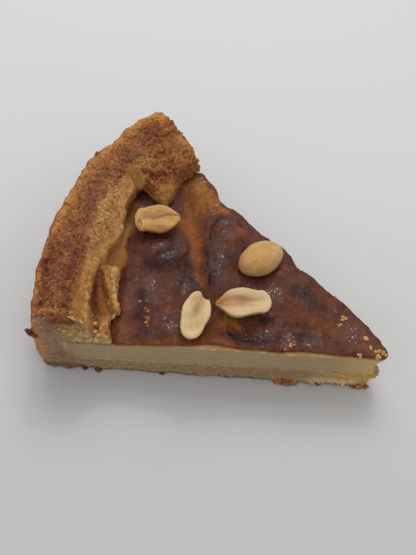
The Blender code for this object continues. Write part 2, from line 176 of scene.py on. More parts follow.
def paintCut(at):
    z, coarse, fine = at.z, at.coarse, at.fine
    overBase = z - baseTop(at)
    isBase = ramp(-0.0002, -0.0006, overBase)
    soaked = ramp(0.0038, 0.0052, z + 0.0006 * coarse) * isBase
    atWall = ramp(0.0140, 0.0080, at.inset + 0.0010 * coarse)
    brown = swell(at.inset - 0.0078, 0.0030) * (swell(z - 0.0088, 0.0030) + 0.8 * ramp(0.0235, 0.0265, z))
    lip = ramp(0.0184, 0.0194, z + 0.0006 * coarse) * ramp(0.0060, 0.0090, at.inset + 0.0008 * coarse)
    topCrust = ramp(0.0278, 0.0292, z + 0.0005 * coarse) * ramp(0.0030, 0.0055, at.inset)
    seam = swell(overBase, 0.00042) * ramp(0.008, 0.010, at.inset)
    seam *= 0.15 + 0.85 * ramp(0.044, 0.034, at.fromTip)
    footTop = 0.0008 + 0.0022 * ramp(0.0160, 0.0090, at.inset)
    foot = ramp(footTop + 0.0013, footTop, z + 0.0006 * fine + 0.0004 * coarse)
    foot *= ramp(0.004, 0.012, at.fromTip)
    layers = (
        ("yellowCream", ramp(0.020, 0.004, at.fromTip)),
        ("crumb", isBase),
        ("crumbTip", isBase * ramp(0.030, 0.016, at.fromTip)),
        ("toastedTip", isBase * ramp(0.011, 0.007, at.fromTip) * ramp(0.0048, 0.0034, z)),
        ("soaked", 0.7 * soaked * ramp(0.070, 0.040, at.fromTip)),
        ("soakedTip", soaked * ramp(0.026, 0.009, at.fromTip)),
        ("wall", atWall),
        ("brownWall", np.clip(brown + 0.25 * coarse * atWall, 0.0, 1.0)),
        ("edge", ramp(0.0040, 0.0006, at.fromEdge - 0.0005 * coarse)),
        ("lipCrumb", lip * ramp(0.0285, 0.0270, z)),
        ("flake", lip * ramp(0.10, 0.45, coarse + 0.5 * fine) * ramp(0.0275, 0.0255, z)),
        ("topCrust", topCrust),
        ("seam", 0.8 * seam),
        ("foot", 0.9 * foot),
        ("wallFoot", 0.9 * foot * ramp(0.0050, 0.0020, at.fromEdge)),
    )
    colours = np.tile(cutColours["cream"], (len(z), 1))
    for name, share in layers:
        colours += share[:, None] * (np.array(cutColours[name]) - colours)
    return colours


# meshes
def newPiece(name, bm):
    mesh = bpy.data.meshes.new(name)
    bm.to_mesh(mesh)
    bm.free()
    obj = bpy.data.objects.new(name, mesh)
    bpy.context.scene.collection.objects.link(obj)
    return obj


def mergedCopy(node, name):
    bm = bmesh.new()
    bm.from_mesh(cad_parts[node].data)
    bmesh.ops.remove_doubles(bm, verts=bm.verts, dist=1e-6)
    obj = newPiece(name, bm)
    leftOver = {"custom_normal", "sharp_edge", "sharp_face"}.intersection(obj.data.attributes.keys())
    for attribute in sorted(leftOver):
        obj.data.attributes.remove(obj.data.attributes[attribute])
    obj.data.materials.clear()
    return obj


def applyModifiers(obj):
    graph = bpy.context.evaluated_depsgraph_get()
    mesh = bpy.data.meshes.new_from_object(obj.evaluated_get(graph))
    obj.modifiers.clear()
    old, obj.data = obj.data, mesh
    bpy.data.meshes.remove(old)
    mesh.name = obj.name
    mesh.shade_smooth()


# an even mesh of a solid, twice as fine where detail shows
def refine(obj, voxel, passes, showsDetail):
    step = obj.modifiers.new("remesh", "REMESH")
    step.mode = "VOXEL"
    step.voxel_size = voxel * 1.0
    applyModifiers(obj)
    bm = bmesh.new()
    bm.from_mesh(obj.data)
    bm.normal_update()
    middles = np.array([face.calc_center_median() for face in bm.faces])
    facing = np.array([face.normal for face in bm.faces])
    chosen = [face for face, pick in zip(bm.faces, showsDetail(survey(middles), facing)) if pick]
    edges = list({edge for face in chosen for edge in face.edges})
    bmesh.ops.subdivide_edges(bm, edges=edges, cuts=1, use_grid_fill=True)
    bm.to_mesh(obj.data)
    bm.free()
    step = obj.modifiers.new("smooth", "SMOOTH")
    step.factor = 0.5
    step.iterations = passes
    applyModifiers(obj)


def surfaceOf(obj):
    count = len(obj.data.vertices)
    points, facing = np.empty(count * 3, np.float32), np.empty(count * 3, np.float32)
    obj.data.vertices.foreach_get("co", points)
    obj.data.vertex_normals.foreach_get("vector", facing)
    return points.reshape(-1, 3).astype(float), facing.reshape(-1, 3).astype(float)


def moveTo(obj, points):
    obj.data.vertices.foreach_set("co", points.astype(np.float32).ravel())
    obj.data.update()


def setMask(obj, name, values):
    attribute = obj.data.attributes.new(name, "FLOAT", "POINT")
    attribute.data.foreach_set("value", values.astype(np.float32))


def setColours(obj, name, values):
    attribute = obj.data.attributes.new(name, "FLOAT_COLOR", "POINT")
    withAlpha = np.hstack([values, np.ones((len(values), 1))])
    attribute.data.foreach_set("color", withAlpha.astype(np.float32).ravel())


def treeOf(obj):
    polygons = [tuple(p.vertices) for p in obj.data.polygons]
    return BVHTree.FromPolygons([v.co.copy() for v in obj.data.vertices], polygons)


def plainTree(node):
    plain = mergedCopy(node, "plain " + node)
    tree = treeOf(plain)
    bpy.data.objects.remove(plain)
    return tree


def heightUnder(tree, x, y):
    hit = tree.ray_cast(Vector((x, y, 0.1)), Vector((0.0, 0.0, -1.0)))
    return hit[0].z if hit[0] is not None else 0.0


# 1 at the surface of a tree and 0 beyond reach
def closeTo(points, tree, reach):
    found = [tree.find_nearest(Vector(p), reach)[3] for p in points]
    return ramp(reach, reach * 0.5, np.array([reach if d is None else d for d in found]))


# shader helpers
def put(tree, kind, inputs=(), **settings):
    node = tree.nodes.new("ShaderNode" + kind)
    for name, value in settings.items():
        setattr(node, name, value)
    for name, value in dict(inputs).items():
        if isinstance(value, bpy.types.NodeSocket):
            tree.links.new(value, node.inputs[name])
        else:
            node.inputs[name].default_value = value
    return node


def calc(tree, operation, a, b=0.0):
    return put(tree, "Math", {0: a, 1: b}, operation=operation).outputs[0]


def mixColours(tree, share, a, b):
    return put(tree, "Mix", {0: share, 6: a, 7: b}, data_type="RGBA").outputs[2]


def between(tree, value, low, high, toLow=0.0, toHigh=1.0):
    inputs = {"Value": value, "From Min": low, "From Max": high, "To Min": toLow, "To Max": toHigh}
    return put(tree, "MapRange", inputs, interpolation_type="SMOOTHSTEP").outputs["Result"]


def colourRamp(tree, value, stops):
    node = put(tree, "ValToRGB", {"Fac": value})
    marks = node.color_ramp.elements
    while len(marks) < len(stops):
        marks.new(0.5)
    for mark, (place, colour) in zip(marks, stops):
        mark.position = place
        mark.color = (*colour, 1.0)
    return node.outputs["Color"]


def maskIn(tree, name):
    return put(tree, "Attribute", attribute_name=name).outputs["Fac"]


def coloursIn(tree, name):
    return put(tree, "Attribute", attribute_name=name).outputs["Color"]


def lighten(tree, colour, factor):
    return put(tree, "VectorMath", {0: colour, "Scale": factor}, operation="SCALE").outputs["Vector"]


def objectPlace(tree, stretch=(1.0, 1.0, 1.0)):
    place = put(tree, "TexCoord").outputs["Object"]
    return put(tree, "Mapping", {"Vector": place, "Scale": stretch}).outputs["Vector"]


def noiseAt(tree, place, size, detail=3.0, rough=0.55):
    inputs = {"Vector": place, "Scale": 1.0 / size, "Detail": detail, "Roughness": rough}
    return put(tree, "TexNoise", inputs).outputs["Fac"]


def newGroup(name, inputs, outputs):
    group = bpy.data.node_groups.new(name, "ShaderNodeTree")
    for label, kind, value in inputs:
        socket = group.interface.new_socket(label, in_out="INPUT", socket_type="NodeSocket" + kind)
        if value is not None:
            socket.default_value = value
    for label, kind in outputs:
        group.interface.new_socket(label, in_out="OUTPUT", socket_type="NodeSocket" + kind)
    return group, group.nodes.new("NodeGroupInput")


def placeGroup(tree, group, inputs):
    return put(tree, "Group", inputs, node_tree=group)


def newMaterial(name):
    material = bpy.data.materials.new(name)
    material.use_nodes = True
    tree = material.node_tree
    return material, tree, tree.nodes["Principled BSDF"]


# crumb texture: rounded grains with pits between them, for everything that is baked or broken; the pits carry
# painted shade and the grain tops a painted highlight
def makeCrumbGroup():
    inputs = [("Place", "Vector", None), ("Size", "Float", 0.0010), ("Pit Share", "Float", 0.4)]
    outputs = [("Height", "Float"), ("Pits", "Float"), ("Grain Highlights", "Float")]
    tree, start = newGroup("crumb texture", inputs, outputs)
    place, size = start.outputs["Place"], start.outputs["Size"]
    scale = calc(tree, "DIVIDE", 1.0, size)
    warp = put(tree, "TexNoise", {"Vector": place, "Scale": scale, "Detail": 2.0}).outputs["Color"]
    warp = put(tree, "VectorMath", {0: warp, 1: (0.5, 0.5, 0.5)}, operation="SUBTRACT").outputs["Vector"]
    warp = put(tree, "VectorMath", {0: warp, "Scale": calc(tree, "MULTIPLY", size, 1.4)}, operation="SCALE")
    bent = put(tree, "VectorMath", {0: place, 1: warp.outputs["Vector"]}, operation="ADD").outputs["Vector"]
    cells = put(tree, "TexVoronoi", {"Vector": bent, "Scale": scale}, feature="F1").outputs["Distance"]
    grain = between(tree, cells, 0.75, 0.10)
    fineScale = calc(tree, "MULTIPLY", scale, 1.7)
    fine = put(tree, "TexNoise", {"Vector": place, "Scale": fineScale, "Detail": 4.0, "Roughness": 0.68})
    fineHeight = calc(tree, "MULTIPLY", fine.outputs["Fac"], 0.75)
    height = calc(tree, "ADD", calc(tree, "MULTIPLY", grain, 0.45), fineHeight)
    pitEdge = calc(tree, "ADD", 0.34, calc(tree, "MULTIPLY", start.outputs["Pit Share"], 0.40))
    pits = between(tree, height, pitEdge, calc(tree, "SUBTRACT", pitEdge, 0.16))
    light = between(tree, height, 0.66, 0.86)
    end = tree.nodes.new("NodeGroupOutput")
    tree.links.new(height, end.inputs["Height"])
    tree.links.new(pits, end.inputs["Pits"])
    tree.links.new(light, end.inputs["Grain Highlights"])
    return tree


# scattered specks: a share of the cells holds one each
def makeSpeckGroup():
    inputs = [("Place", "Vector", None), ("Spacing", "Float", 0.002), ("Share", "Float", 0.3),
              ("Width", "Float", 0.25)]
    tree, start = newGroup("specks", inputs, [("Mask", "Float")])
    scale = calc(tree, "DIVIDE", 1.0, start.outputs["Spacing"])
    cells = put(tree, "TexVoronoi", {"Vector": start.outputs["Place"], "Scale": scale}, feature="F1")
    pick = put(tree, "SeparateColor", {"Color": cells.outputs["Color"]}).outputs["Red"]
    chosen = calc(tree, "LESS_THAN", pick, start.outputs["Share"])
    width = calc(tree, "MULTIPLY", start.outputs["Width"], 0.6)
    dot = between(tree, cells.outputs["Distance"], start.outputs["Width"], width)
    end = tree.nodes.new("NodeGroupOutput")
    tree.links.new(calc(tree, "MULTIPLY", dot, chosen), end.inputs["Mask"])
    return tree


def addSpecks(tree, place, spacing, share, width):
    inputs = {"Place": place, "Spacing": spacing, "Share": share, "Width": width}
    return placeGroup(tree, speckGroup, inputs).outputs["Mask"]


crumbGroup = makeCrumbGroup()
speckGroup = makeSpeckGroup()

# the pastry: base, wall and folded rim
pastry = {
    "voxel": 0.00068,
    "smoothing": 2,
    # relief, in metres
    "topLumps": 0.00026,
    "topGrains": 0.00040,
    "topPits": 0.00060,
    "sideLumps": 0.00010,
    "cutLumps": 0.00020,
    "closeSeam": 0.00018,
    "lipWaves": 0.00045,
    "frontLumps": 0.0004,
    "creaseDepth": 0.00025,
    "flapSinks": 0.80,        # the share of its height that the far end of the flap loses
    "flapTears": (0.0003, 0.0006, 0.0007),
    "footCrumbs": (0.00030, 0.0007),
    # the skin shows in a hollow beside the ear that runs up to the arch
    "hollow": ((-0.0797, 0.0530), (-0.0783, 0.0508), (-0.0768, 0.0486)),
    "hollowFloor": 0.0202,
    "hollowSlope": 1.25,
    # the pale arch and the crease inside it, at the far end of the lip; the crease is painted dark: painted
    # shadow under the arch's band
    "arch": ((-0.0818, 0.0470), (-0.0804, 0.0515), (-0.0787, 0.0548), (-0.0765, 0.0569), (-0.0762, 0.0594),
             (-0.0760, 0.0569), (-0.0741, 0.0572), (-0.0722, 0.0570)),
    "crease": ((-0.0780, 0.0534), (-0.0762, 0.0547), (-0.0743, 0.0545), (-0.0722, 0.0549), (-0.0708, 0.0545)),
    # where the browned top turns pale on its inner side: degrees, inset
    "paleFrom": ((-8, -3, -1, 6, 10, 14, 18, 22, 26, 30, 34, 38.5, 40.5, 43),
                 (0.0104, 0.0111, 0.0113, 0.0123, 0.0118, 0.0116, 0.0112,
                  0.0100, 0.0099, 0.0103, 0.0100, 0.0104, 0.0200, 0.0300)),
    # the shallow groove along the top, near its near end, drawn only as a painted shade line: degrees, inset
    "groove": ((-8, 0, 6, 9, 14), (0.0098, 0.0092, 0.0092, 0.0110, 0.0128)),
    # tone across the browned top, from the outer edge in: along most of it, and at its near end
    "across": ((0.0013, 0.0028, 0.0043, 0.0058, 0.0080), (-0.12, 0.08, 0.21, 0.31, 0.41)),
    "acrossNear": ((0.0008, 0.0022, 0.0037, 0.0052, 0.0067, 0.0082, 0.0097, 0.0112),
                   (-0.12, 0.42, 0.62, 0.57, 0.45, 0.45, 0.52, 0.50)),
    # tones, from 0 for the palest to 1 for the darkest
    "tones": {"wall": 0.50, "pale": 0.19, "valley": 0.76, "flapFoot": 0.52, "flapTop": 0.20, "shelf": 0.18,
              "ear": 0.50, "earTip": 0.42, "arch": 0.26, "crease": 0.78, "byHollow": 0.14,
              "hollowFloor": 0.93},
    # how much darker than that the pastry is in some places
    "darker": {"wallFoot": 0.30, "groove": 0.16, "farEnd": -0.12, "scorch": 0.16, "frontEdge": 0.26,
               "byFrontEdge": -0.20, "blush": 0.10, "nearBlush": 0.08, "streaks": 0.50, "earEdge": -0.22,
               "earHeel": -0.22, "farCutEdge": -0.20},
    # cream, tan, golden, orange brown, red brown, dark, darkest: on the browned top and its pale inner side
    "brownStops": (
        (0.00, (0.590, 0.280, 0.090)), (0.18, (0.490, 0.190, 0.050)), (0.36, (0.370, 0.127, 0.033)),
        (0.54, (0.250, 0.082, 0.030)), (0.72, (0.165, 0.050, 0.024)), (0.87, (0.105, 0.031, 0.017)),
        (1.00, (0.056, 0.017, 0.010)),
    ),
    "paleStops": (
        (0.00, (0.620, 0.375, 0.140)), (0.18, (0.465, 0.228, 0.074)), (0.36, (0.360, 0.147, 0.038)),
        (0.54, (0.265, 0.098, 0.024)), (0.72, (0.170, 0.054, 0.015)), (0.87, (0.095, 0.028, 0.009)),
        (1.00, (0.040, 0.013, 0.006)),
    ),
    "greyBrown": (0.225, 0.098, 0.066),
    "flour": (0.62, 0.37, 0.165),
    "crumbSize": 0.0008,
    "mottle": 0.62,
    "bump": 0.0006,
}


# the cuts, the broken lip over the near one and the crumbled tip
def cutOfPastry(at, facing):
    near = ramp(0.45, 0.8, -facing[:, 1]) * ramp(0.0014, 0.0005, at.y)
    far = ramp(0.45, 0.8, towardsFarCut(facing)) * ramp(0.0062, 0.0045, at.fromFarCut)
    broken = ramp(0.15, 0.45, -facing[:, 1]) * ramp(0.0176, 0.0190, at.z) * ramp(0.0085, 0.0070, at.y)
    broken *= ramp(0.0006, 0.0020, at.fromEdge)
    return np.maximum.reduce([near, far, broken, ramp(0.0078, 0.0064, at.fromTip)])


# the parts of the rim, each from 0 to 1
def partsOfPastry(at, facing):
    x, y, z, degrees, inset, coarse = at.x, at.y, at.z, at.degrees, at.inset, at.coarse
    shifted = inset + 0.0006 * coarse
    part = SimpleNamespace(cut=cutOfPastry(at, facing))
    part.top = ramp(0.0262, 0.0284, z) * ramp(0.0004, 0.0020, at.fromEdge) * (1.0 - part.cut)
    part.farEnd = ramp(39.0, 44.0, degrees)
    part.inner = ramp(0.0044, 0.0064, inset) * ramp(0.0180, 0.0150, z)
    part.smoothLip = ramp(-0.0042, -0.0018, at.pastLip) * ramp(0.0015, 0.0, at.pastLip)
    part.smoothLip *= ramp(38.0, 34.0, degrees)
    part.paleFrom = np.interp(degrees, *pastry["paleFrom"])
    pale = ramp(part.paleFrom - 0.0011, part.paleFrom + 0.0011, shifted + 0.0005 * at.fine)
    part.pale = pale * ramp(0.0195, 0.0215, z)
    # beyond the lip: the valley, painted dark as painted shade, the flap that stands in it, the low shelf and
    # the ear
    part.beyond = ramp(0.0, 0.0010, at.pastLip) * ramp(0.0170, 0.0185, z)
    alongFlap = ramp(-4.6, -3.0, degrees) * ramp(15.0, 11.0, degrees)
    part.flapTop, part.flapFoot = 0.0218 - 0.00034 * degrees, 0.0178 - 0.0003 * degrees
    part.valley = part.beyond * alongFlap * ramp(part.flapFoot + 0.0006, part.flapFoot - 0.0006, shifted)
    part.flap = part.beyond * alongFlap * ramp(part.flapFoot - 0.0006, part.flapFoot + 0.0006, shifted)
    part.flapHeight = ramp(part.flapFoot, part.flapTop + 0.0004, shifted)
    part.shelf = part.beyond * ramp(-2.6, -4.2, degrees)
    part.ear = part.beyond * ramp(33.0, 34.5, degrees)
    part.earTip = ramp(0.0180, 0.0225, inset) * ramp(42.0, 37.0, degrees)
    toArch = distanceTo(x + 0.0007 * coarse, y, pastry["arch"])
    part.arch = ramp(0.0023, 0.0014, toArch) * ramp(0.0225, 0.0240, z)
    toCrease = distanceTo(x + 0.0004 * coarse, y, pastry["crease"])
    part.crease = ramp(0.0012, 0.0004, toCrease) * ramp(0.0205, 0.0220, z)
    toHollow = distanceTo(x, y, pastry["hollow"])
    part.hollow = ramp(0.0021, 0.0009, toHollow) * ramp(0.0185, 0.0195, z)
    part.byHollow = ramp(0.0026, 0.0017, toHollow) * ramp(0.0185, 0.0195, z)
    return part


def toneOfTop(at, part):
    y, degrees, coarse, broad, darker = at.y, at.degrees, at.coarse, at.broad, pastry["darker"]
    wandering = at.fromEdge + 0.0005 * coarse + 0.0006 * broad
    tone = np.interp(wandering, *pastry["across"])
    tone = blendTo(tone, np.interp(wandering, *pastry["acrossNear"]), ramp(13.0, 8.0, degrees + 3.0 * broad))
    # painted shade along the groove, which is not carved
    groove = swell(at.inset - np.interp(degrees, *pastry["groove"]), 0.0010) * ramp(17.0, 11.0, degrees)
    tone += darker["groove"] * groove
    tone += darker["farEnd"] * part.farEnd * ramp(0.0130, 0.0200, at.inset)
    tone += darker["scorch"] * swell(np.hypot((degrees - 45.0) / 2.2, (at.inset - 0.0060) / 0.0030), 1.0)
    tone += darker["frontEdge"] * ramp(0.0013, 0.0005, y + 0.0004 * coarse)
    tone += darker["byFrontEdge"] * swell(y - 0.0026 + 0.0004 * coarse, 0.0009)
    return tone + 0.18 * broad + 0.18 * coarse + 0.10 * at.fine


def toneOfEar(at, part):
    tone = blendTo(pastry["tones"]["ear"], pastry["tones"]["earTip"], part.earTip)
    tone += pastry["darker"]["earEdge"] * ramp(40.0, 46.0, at.degrees)
    heel = swell(np.hypot((at.x + 0.0760) / 0.0022, (at.y - 0.0515) / 0.0020), 1.0)
    tone += pastry["darker"]["earHeel"] * heel
    return tone + 0.14 * at.coarse + 0.10 * at.broad


def toneOfPastry(at, part):
    degrees, inset, coarse, broad = at.degrees, at.inset, at.coarse, at.broad
    tones, darker = pastry["tones"], pastry["darker"]
    tone = tones["wall"] + 0.08 * coarse + 0.06 * broad + darker["wallFoot"] * ramp(0.0050, 0.0004, at.z)
    tone = blendTo(tone, toneOfTop(at, part), part.top)
    blush = darker["blush"] * ramp(0.0, 0.0045, inset - part.paleFrom) * ramp(33.0, 22.0, degrees)
    blush += darker["nearBlush"] * ramp(10.0, 2.0, degrees)
    tone = blendTo(tone, tones["pale"] + blush + 0.20 * coarse + 0.10 * at.fine, part.pale)
    # painted shade in the valley between the lip and the flap
    tone = blendTo(tone, tones["valley"] + 0.12 * coarse, part.valley)
    flap = blendTo(tones["flapFoot"], tones["flapTop"], part.flapHeight)
    tone = blendTo(tone, flap + 0.18 * coarse, part.flap)
    streaks = swell(inset - 0.0172, 0.0010) + 0.6 * swell(inset - 0.0212, 0.0006)
    tone = blendTo(tone, tones["shelf"] + darker["streaks"] * streaks + 0.18 * coarse, part.shelf)
    tone = blendTo(tone, toneOfEar(at, part), part.ear)
    tone = blendTo(tone, tones["arch"] + 0.08 * coarse, part.arch)
    # painted shadow in the crease
    tone = blendTo(tone, tones["crease"], part.crease)
    tone = blendTo(tone, tones["byHollow"] + 0.06 * coarse, part.byHollow)
    return tone + darker["farCutEdge"] * ramp(0.0024, 0.0008, at.fromFarCut) * np.maximum(part.top, part.ear)


def paintPastry(at, part):
    degrees, z = at.degrees, at.z
    grey = part.top * ramp(0.0036, 0.0064, at.fromEdge) * (0.70 + 0.7 * at.broad) * (1.0 - 0.7 * part.farEnd)
    grey *= blendTo(0.4, 1.0, ramp(6.0, 14.0, degrees)) * (1.0 - part.pale)
    grey *= ramp(0.0008, 0.0024, at.fromFarCut) * (1.0 - part.byHollow)
    band = swell(at.inset - part.paleFrom - 0.0012, 0.0024)
    band *= ramp(9.0, 15.0, degrees) * ramp(31.0, 26.0, degrees)
    crisp = ramp(part.flapTop + 0.0001, part.flapTop + 0.0010, at.inset + 0.0004 * at.coarse)
    crisp *= part.flap * ramp(0.0228, 0.0240, z)
    lipEdge = swell(at.pastLip, 0.0006) * ramp(0.0245, 0.0255, z) * ramp(32.0, 28.0, degrees)
    floury = np.clip(band + crisp + 0.7 * lipEdge + 0.12 * part.top, 0.0, 1.0) * ramp(0.019, 0.021, z)
    rough = part.top * (1.0 - 0.55 * part.smoothLip) * blendTo(1.0, 0.75, part.pale * (1.0 - part.farEnd))
    rough += 0.9 * part.cut + part.ear * (1.0 - 0.8 * part.earTip) + 0.5 * part.shelf
    pale = np.clip(part.pale + part.beyond * ramp(33.0, 31.0, degrees) + part.arch + part.byHollow, 0.0, 1.0)
    pale -= 0.6 * part.ear * (1.0 - part.earTip) * pale * (1.0 - part.byHollow)
    floury *= 1.0 - part.byHollow
    rough = np.clip(rough, 0.0, 1.0) * (1.0 - part.byHollow)
    return {"tone": toneOfPastry(at, part), "pale": pale, "grey": grey, "cut": part.cut, "floury": floury,
            "rough": rough}


def showsOnPastry(at, facing):
    high = (at.z > 0.0185) & (at.fromEdge > 0.0006) & (facing[:, 2] > -0.3)
    onCuts = (at.y < 0.0006) | ((facing[:, 0] + facing[:, 1] > 1.1) & (at.fromFarCut < 0.0045))
    return high | (onCuts & (at.z > 0.0008))


# how far each point moves out along its normal
def reliefOfPastry(at, part, rough, facing):
    coarse, fine, z = at.coarse, at.fine, at.z
    grained = grains(at.points, 0.0013, 4.0)
    pits = ramp(0.10, 0.42, lumps(at.points, 0.0012, 15.0))
    baked = rough * (1.0 - part.cut)
    out = baked * (pastry["topLumps"] * (coarse + 0.5 * fine) - pastry["topPits"] * pits)
    out += baked * pastry["topGrains"] * (grained - 0.5)
    side = (1.0 - part.top) * (1.0 - part.inner) * ramp(0.0002, 0.0015, z)
    out += side * pastry["sideLumps"] * (coarse + fine)
    cutLumps = fine + 0.6 * coarse + grained - 0.5 - pits
    out += part.cut * pastry["cutLumps"] * cutLumps * ramp(0.0002, 0.0010, z)
    out += part.inner * ramp(0.3, 0.7, facing[:, 2]) * pastry["closeSeam"]
    out -= part.crease * pastry["creaseDepth"]
    lipBand = ramp(-0.0042, -0.0010, at.pastLip) * ramp(0.0230, 0.0250, z) * (1.0 - part.cut)
    out += lipBand * 0.5 * pastry["topLumps"] * fine
    return out + lipBand * pastry["lipWaves"] * lumps(at.points, 0.0034, 40.0)


def sinkHollow(at, part, masks, moved):
    slope = np.clip(at.y - pastry["hollow"][-1][1] - 0.0008, 0.0, 0.006)
    floor = pastry["hollowFloor"] + pastry["hollowSlope"] * slope
    moved[:, 2] = blendTo(moved[:, 2], np.minimum(moved[:, 2], floor), part.hollow)
    onFloor = part.hollow * ramp(0.0232, 0.0212, moved[:, 2])
    # the floor of the hollow is painted near-black: partly the skin's dark colour, partly painted shade under
    # the lip
    masks["tone"] = blendTo(masks["tone"], pastry["tones"]["hollowFloor"], onFloor)
    masks["pale"] = masks["pale"] * (1.0 - onFloor)


# the flap runs out into the skin at its far end, and its edge is torn
def tearFlap(at, part, moved):
    sunk = part.beyond * ramp(7.5, 12.5, at.degrees) * ramp(18.0, 16.0, at.degrees)
    sunk *= ramp(0.0190, 0.0205, at.z)
    moved[:, 2] -= sunk * pastry["flapSinks"] * np.clip(at.z - 0.0192, 0.0, 0.01)
    ragged = part.beyond * ramp(14.0, 11.0, at.degrees) * ramp(0.0205, 0.0225, at.z)
    waves, tears, heights = pastry["flapTears"]
    moved[:, 0] += ragged * (waves * lumps(at.points, 0.0016, 51.0) - 0.0001)
    moved[:, 0] += ragged * tears * np.abs(lumps(at.points, 0.0010, 52.0))
    moved[:, 2] += ragged * heights * lumps(at.points, 0.0009, 57.0)


# crumbly edge over the near cut, and ragged crumbs at its foot
def roughenNearCut(at, facing, moved):
    both = at.coarse + at.fine
    frontEdge = ramp(0.0016, 0.0004, at.y) * ramp(0.0215, 0.0240, at.z)
    moved[:, 1] -= frontEdge * pastry["frontLumps"] * np.clip(both, -0.5, 1.0)
    atFoot = ramp(0.0012, 0.0004, at.y) * ramp(0.0030, 0.0012, at.z) * ramp(0.3, 0.7, -facing[:, 1])
    atFoot *= ramp(-0.25, 0.35, lumps(at.points, 0.0075, 61.0, 2))
    least, more = pastry["footCrumbs"]
    moved[:, 1] -= atFoot * (least + more * np.clip(both, 0.0, 1.0))
    moved[:, 2] = np.maximum(moved[:, 2], 0.0)


# no gap shows where the pastry meets the custard at the near cut, and the cut colour there is painted lighter
# to cancel the seam's shade
def closePastrySeam(at, part, facing, masks, moved, custardTree):
    atCut = np.where((at.y < 0.0016) & (facing[:, 1] < 0.6))[0]
    y, z, inset, uneven = at.y[atCut], at.z[atCut], at.inset[atCut], 1.0 + at.fine[atCut]
    meeting = closeTo(at.points[atCut], custardTree, 0.0014)
    moved[atCut, 1] -= meeting * np.clip(y - 0.00003, 0.0, 0.0008)
    upwards = 1.0 * (z < 0.012) - 1.0 * (z > 0.016) * (inset > 0.010)
    moved[atCut, 2] += meeting * 0.00030 * upwards * uneven
    beside = (z > 0.0095) * (z < 0.0185) * (inset < 0.0110)
    moved[atCut, 0] += meeting * 0.00045 * beside * uneven
    masks["cut"][atCut] = np.maximum(part.cut[atCut], meeting)
    colours = paintCut(at)
    # painted light along the line where the pastry meets the custard
    colours[atCut] *= 1.0 + 0.35 * closeTo(at.points[atCut], custardTree, 0.0008)[:, None]
    return colours


def dressPastry():
    obj = mergedCopy("crust", "baked_crust")
    refine(obj, pastry["voxel"], pastry["smoothing"], showsOnPastry)
    points, facing = surfaceOf(obj)
    at = addLumps(survey(points))
    at.broad = lumps(points, 0.0065, 31.0)
    part = partsOfPastry(at, facing)
    masks = paintPastry(at, part)
    moved = points + facing * reliefOfPastry(at, part, masks["rough"], facing)[:, None]
    sinkHollow(at, part, masks, moved)
    tearFlap(at, part, moved)
    roughenNearCut(at, facing, moved)
    colours = closePastrySeam(at, part, facing, masks, moved, plainTree("custard"))
    moveTo(obj, moved)
    for name, values in masks.items():
        setMask(obj, name, values)
    setColours(obj, "cutColour", colours)
    obj.data.materials.append(pastryMaterial())
    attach(obj, "root")
    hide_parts("crust")
    print("pastry done,", len(obj.data.polygons), "faces")
    return obj


def pastryMaterial():
    material, tree, shader = newMaterial("baked pastry")
    place = objectPlace(tree)
    inputs = {"Place": place, "Size": pastry["crumbSize"], "Pit Share": 0.30}
    crumb = placeGroup(tree, crumbGroup, inputs).outputs
    rough = maskIn(tree, "rough")
    mottle = calc(tree, "SUBTRACT", noiseAt(tree, place, 0.0013, 5.0, 0.66), 0.5)
    tone = calc(tree, "ADD", maskIn(tree, "tone"), calc(tree, "MULTIPLY", mottle, pastry["mottle"]))
    # partly the crumb's own mottle, partly painted shade in the pits and a painted highlight on the grain
    # tops
    pitShadeShare = calc(tree, "ADD", 0.05, calc(tree, "MULTIPLY", rough, 0.26))
    tone = calc(tree, "ADD", tone, calc(tree, "MULTIPLY", crumb["Pits"], pitShadeShare))
    grainHighlightShare = calc(tree, "ADD", 0.04, calc(tree, "MULTIPLY", rough, 0.34))
    tone = calc(tree, "SUBTRACT", tone, calc(tree, "MULTIPLY", crumb["Grain Highlights"], grainHighlightShare))
    brown, pale = colourRamp(tree, tone, pastry["brownStops"]), colourRamp(tree, tone, pastry["paleStops"])
    colour = mixColours(tree, maskIn(tree, "pale"), brown, pale)
    greyShare = calc(tree, "MULTIPLY", maskIn(tree, "grey"), calc(tree, "SUBTRACT", 0.50, mottle))
    greyShare = calc(tree, "MULTIPLY", greyShare, calc(tree, "SUBTRACT", 1.0, crumb["Pits"]))
    colour = mixColours(tree, greyShare, colour, (*pastry["greyBrown"], 1.0))

    grainsOfFlour = addSpecks(tree, place, 0.0010, 0.70, 0.45)
    dust = between(tree, noiseAt(tree, place, 0.0014, 3.0, 0.6), 0.45, 0.62)
    flourShare = calc(tree, "MULTIPLY", maskIn(tree, "floury"), calc(tree, "MAXIMUM", grainsOfFlour, dust))
    covered = calc(tree, "SUBTRACT", 0.8, calc(tree, "MULTIPLY", crumb["Pits"], 0.6))
    colour = mixColours(tree, calc(tree, "MULTIPLY", flourShare, covered), colour, (*pastry["flour"], 1.0))

    light = between(tree, noiseAt(tree, place, 0.0010, 5.0, 0.68), 0.28, 0.74, 0.78, 1.28)
    # on the cuts too: painted shade in the pits, painted highlight on the grain tops
    light = calc(tree, "MULTIPLY", light, between(tree, crumb["Pits"], 0.0, 1.0, 1.0, 0.80))
    light = calc(tree, "MULTIPLY", light, between(tree, crumb["Grain Highlights"], 0.0, 1.0, 1.0, 1.15))
    inside = lighten(tree, coloursIn(tree, "cutColour"), light)
    tree.links.new(mixColours(tree, maskIn(tree, "cut"), colour, inside), shader.inputs["Base Color"])

    tree.links.new(between(tree, crumb["Height"], 0.3, 0.8, 0.85, 0.62), shader.inputs["Roughness"])
    height = calc(tree, "MULTIPLY", crumb["Height"], calc(tree, "ADD", rough, 0.25))
    bump = put(tree, "Bump", {"Height": height, "Distance": pastry["bump"], "Strength": 0.85})
    tree.links.new(bump.outputs["Normal"], shader.inputs["Normal"])
    shader.inputs["Specular IOR Level"].default_value = 0.2
    return material


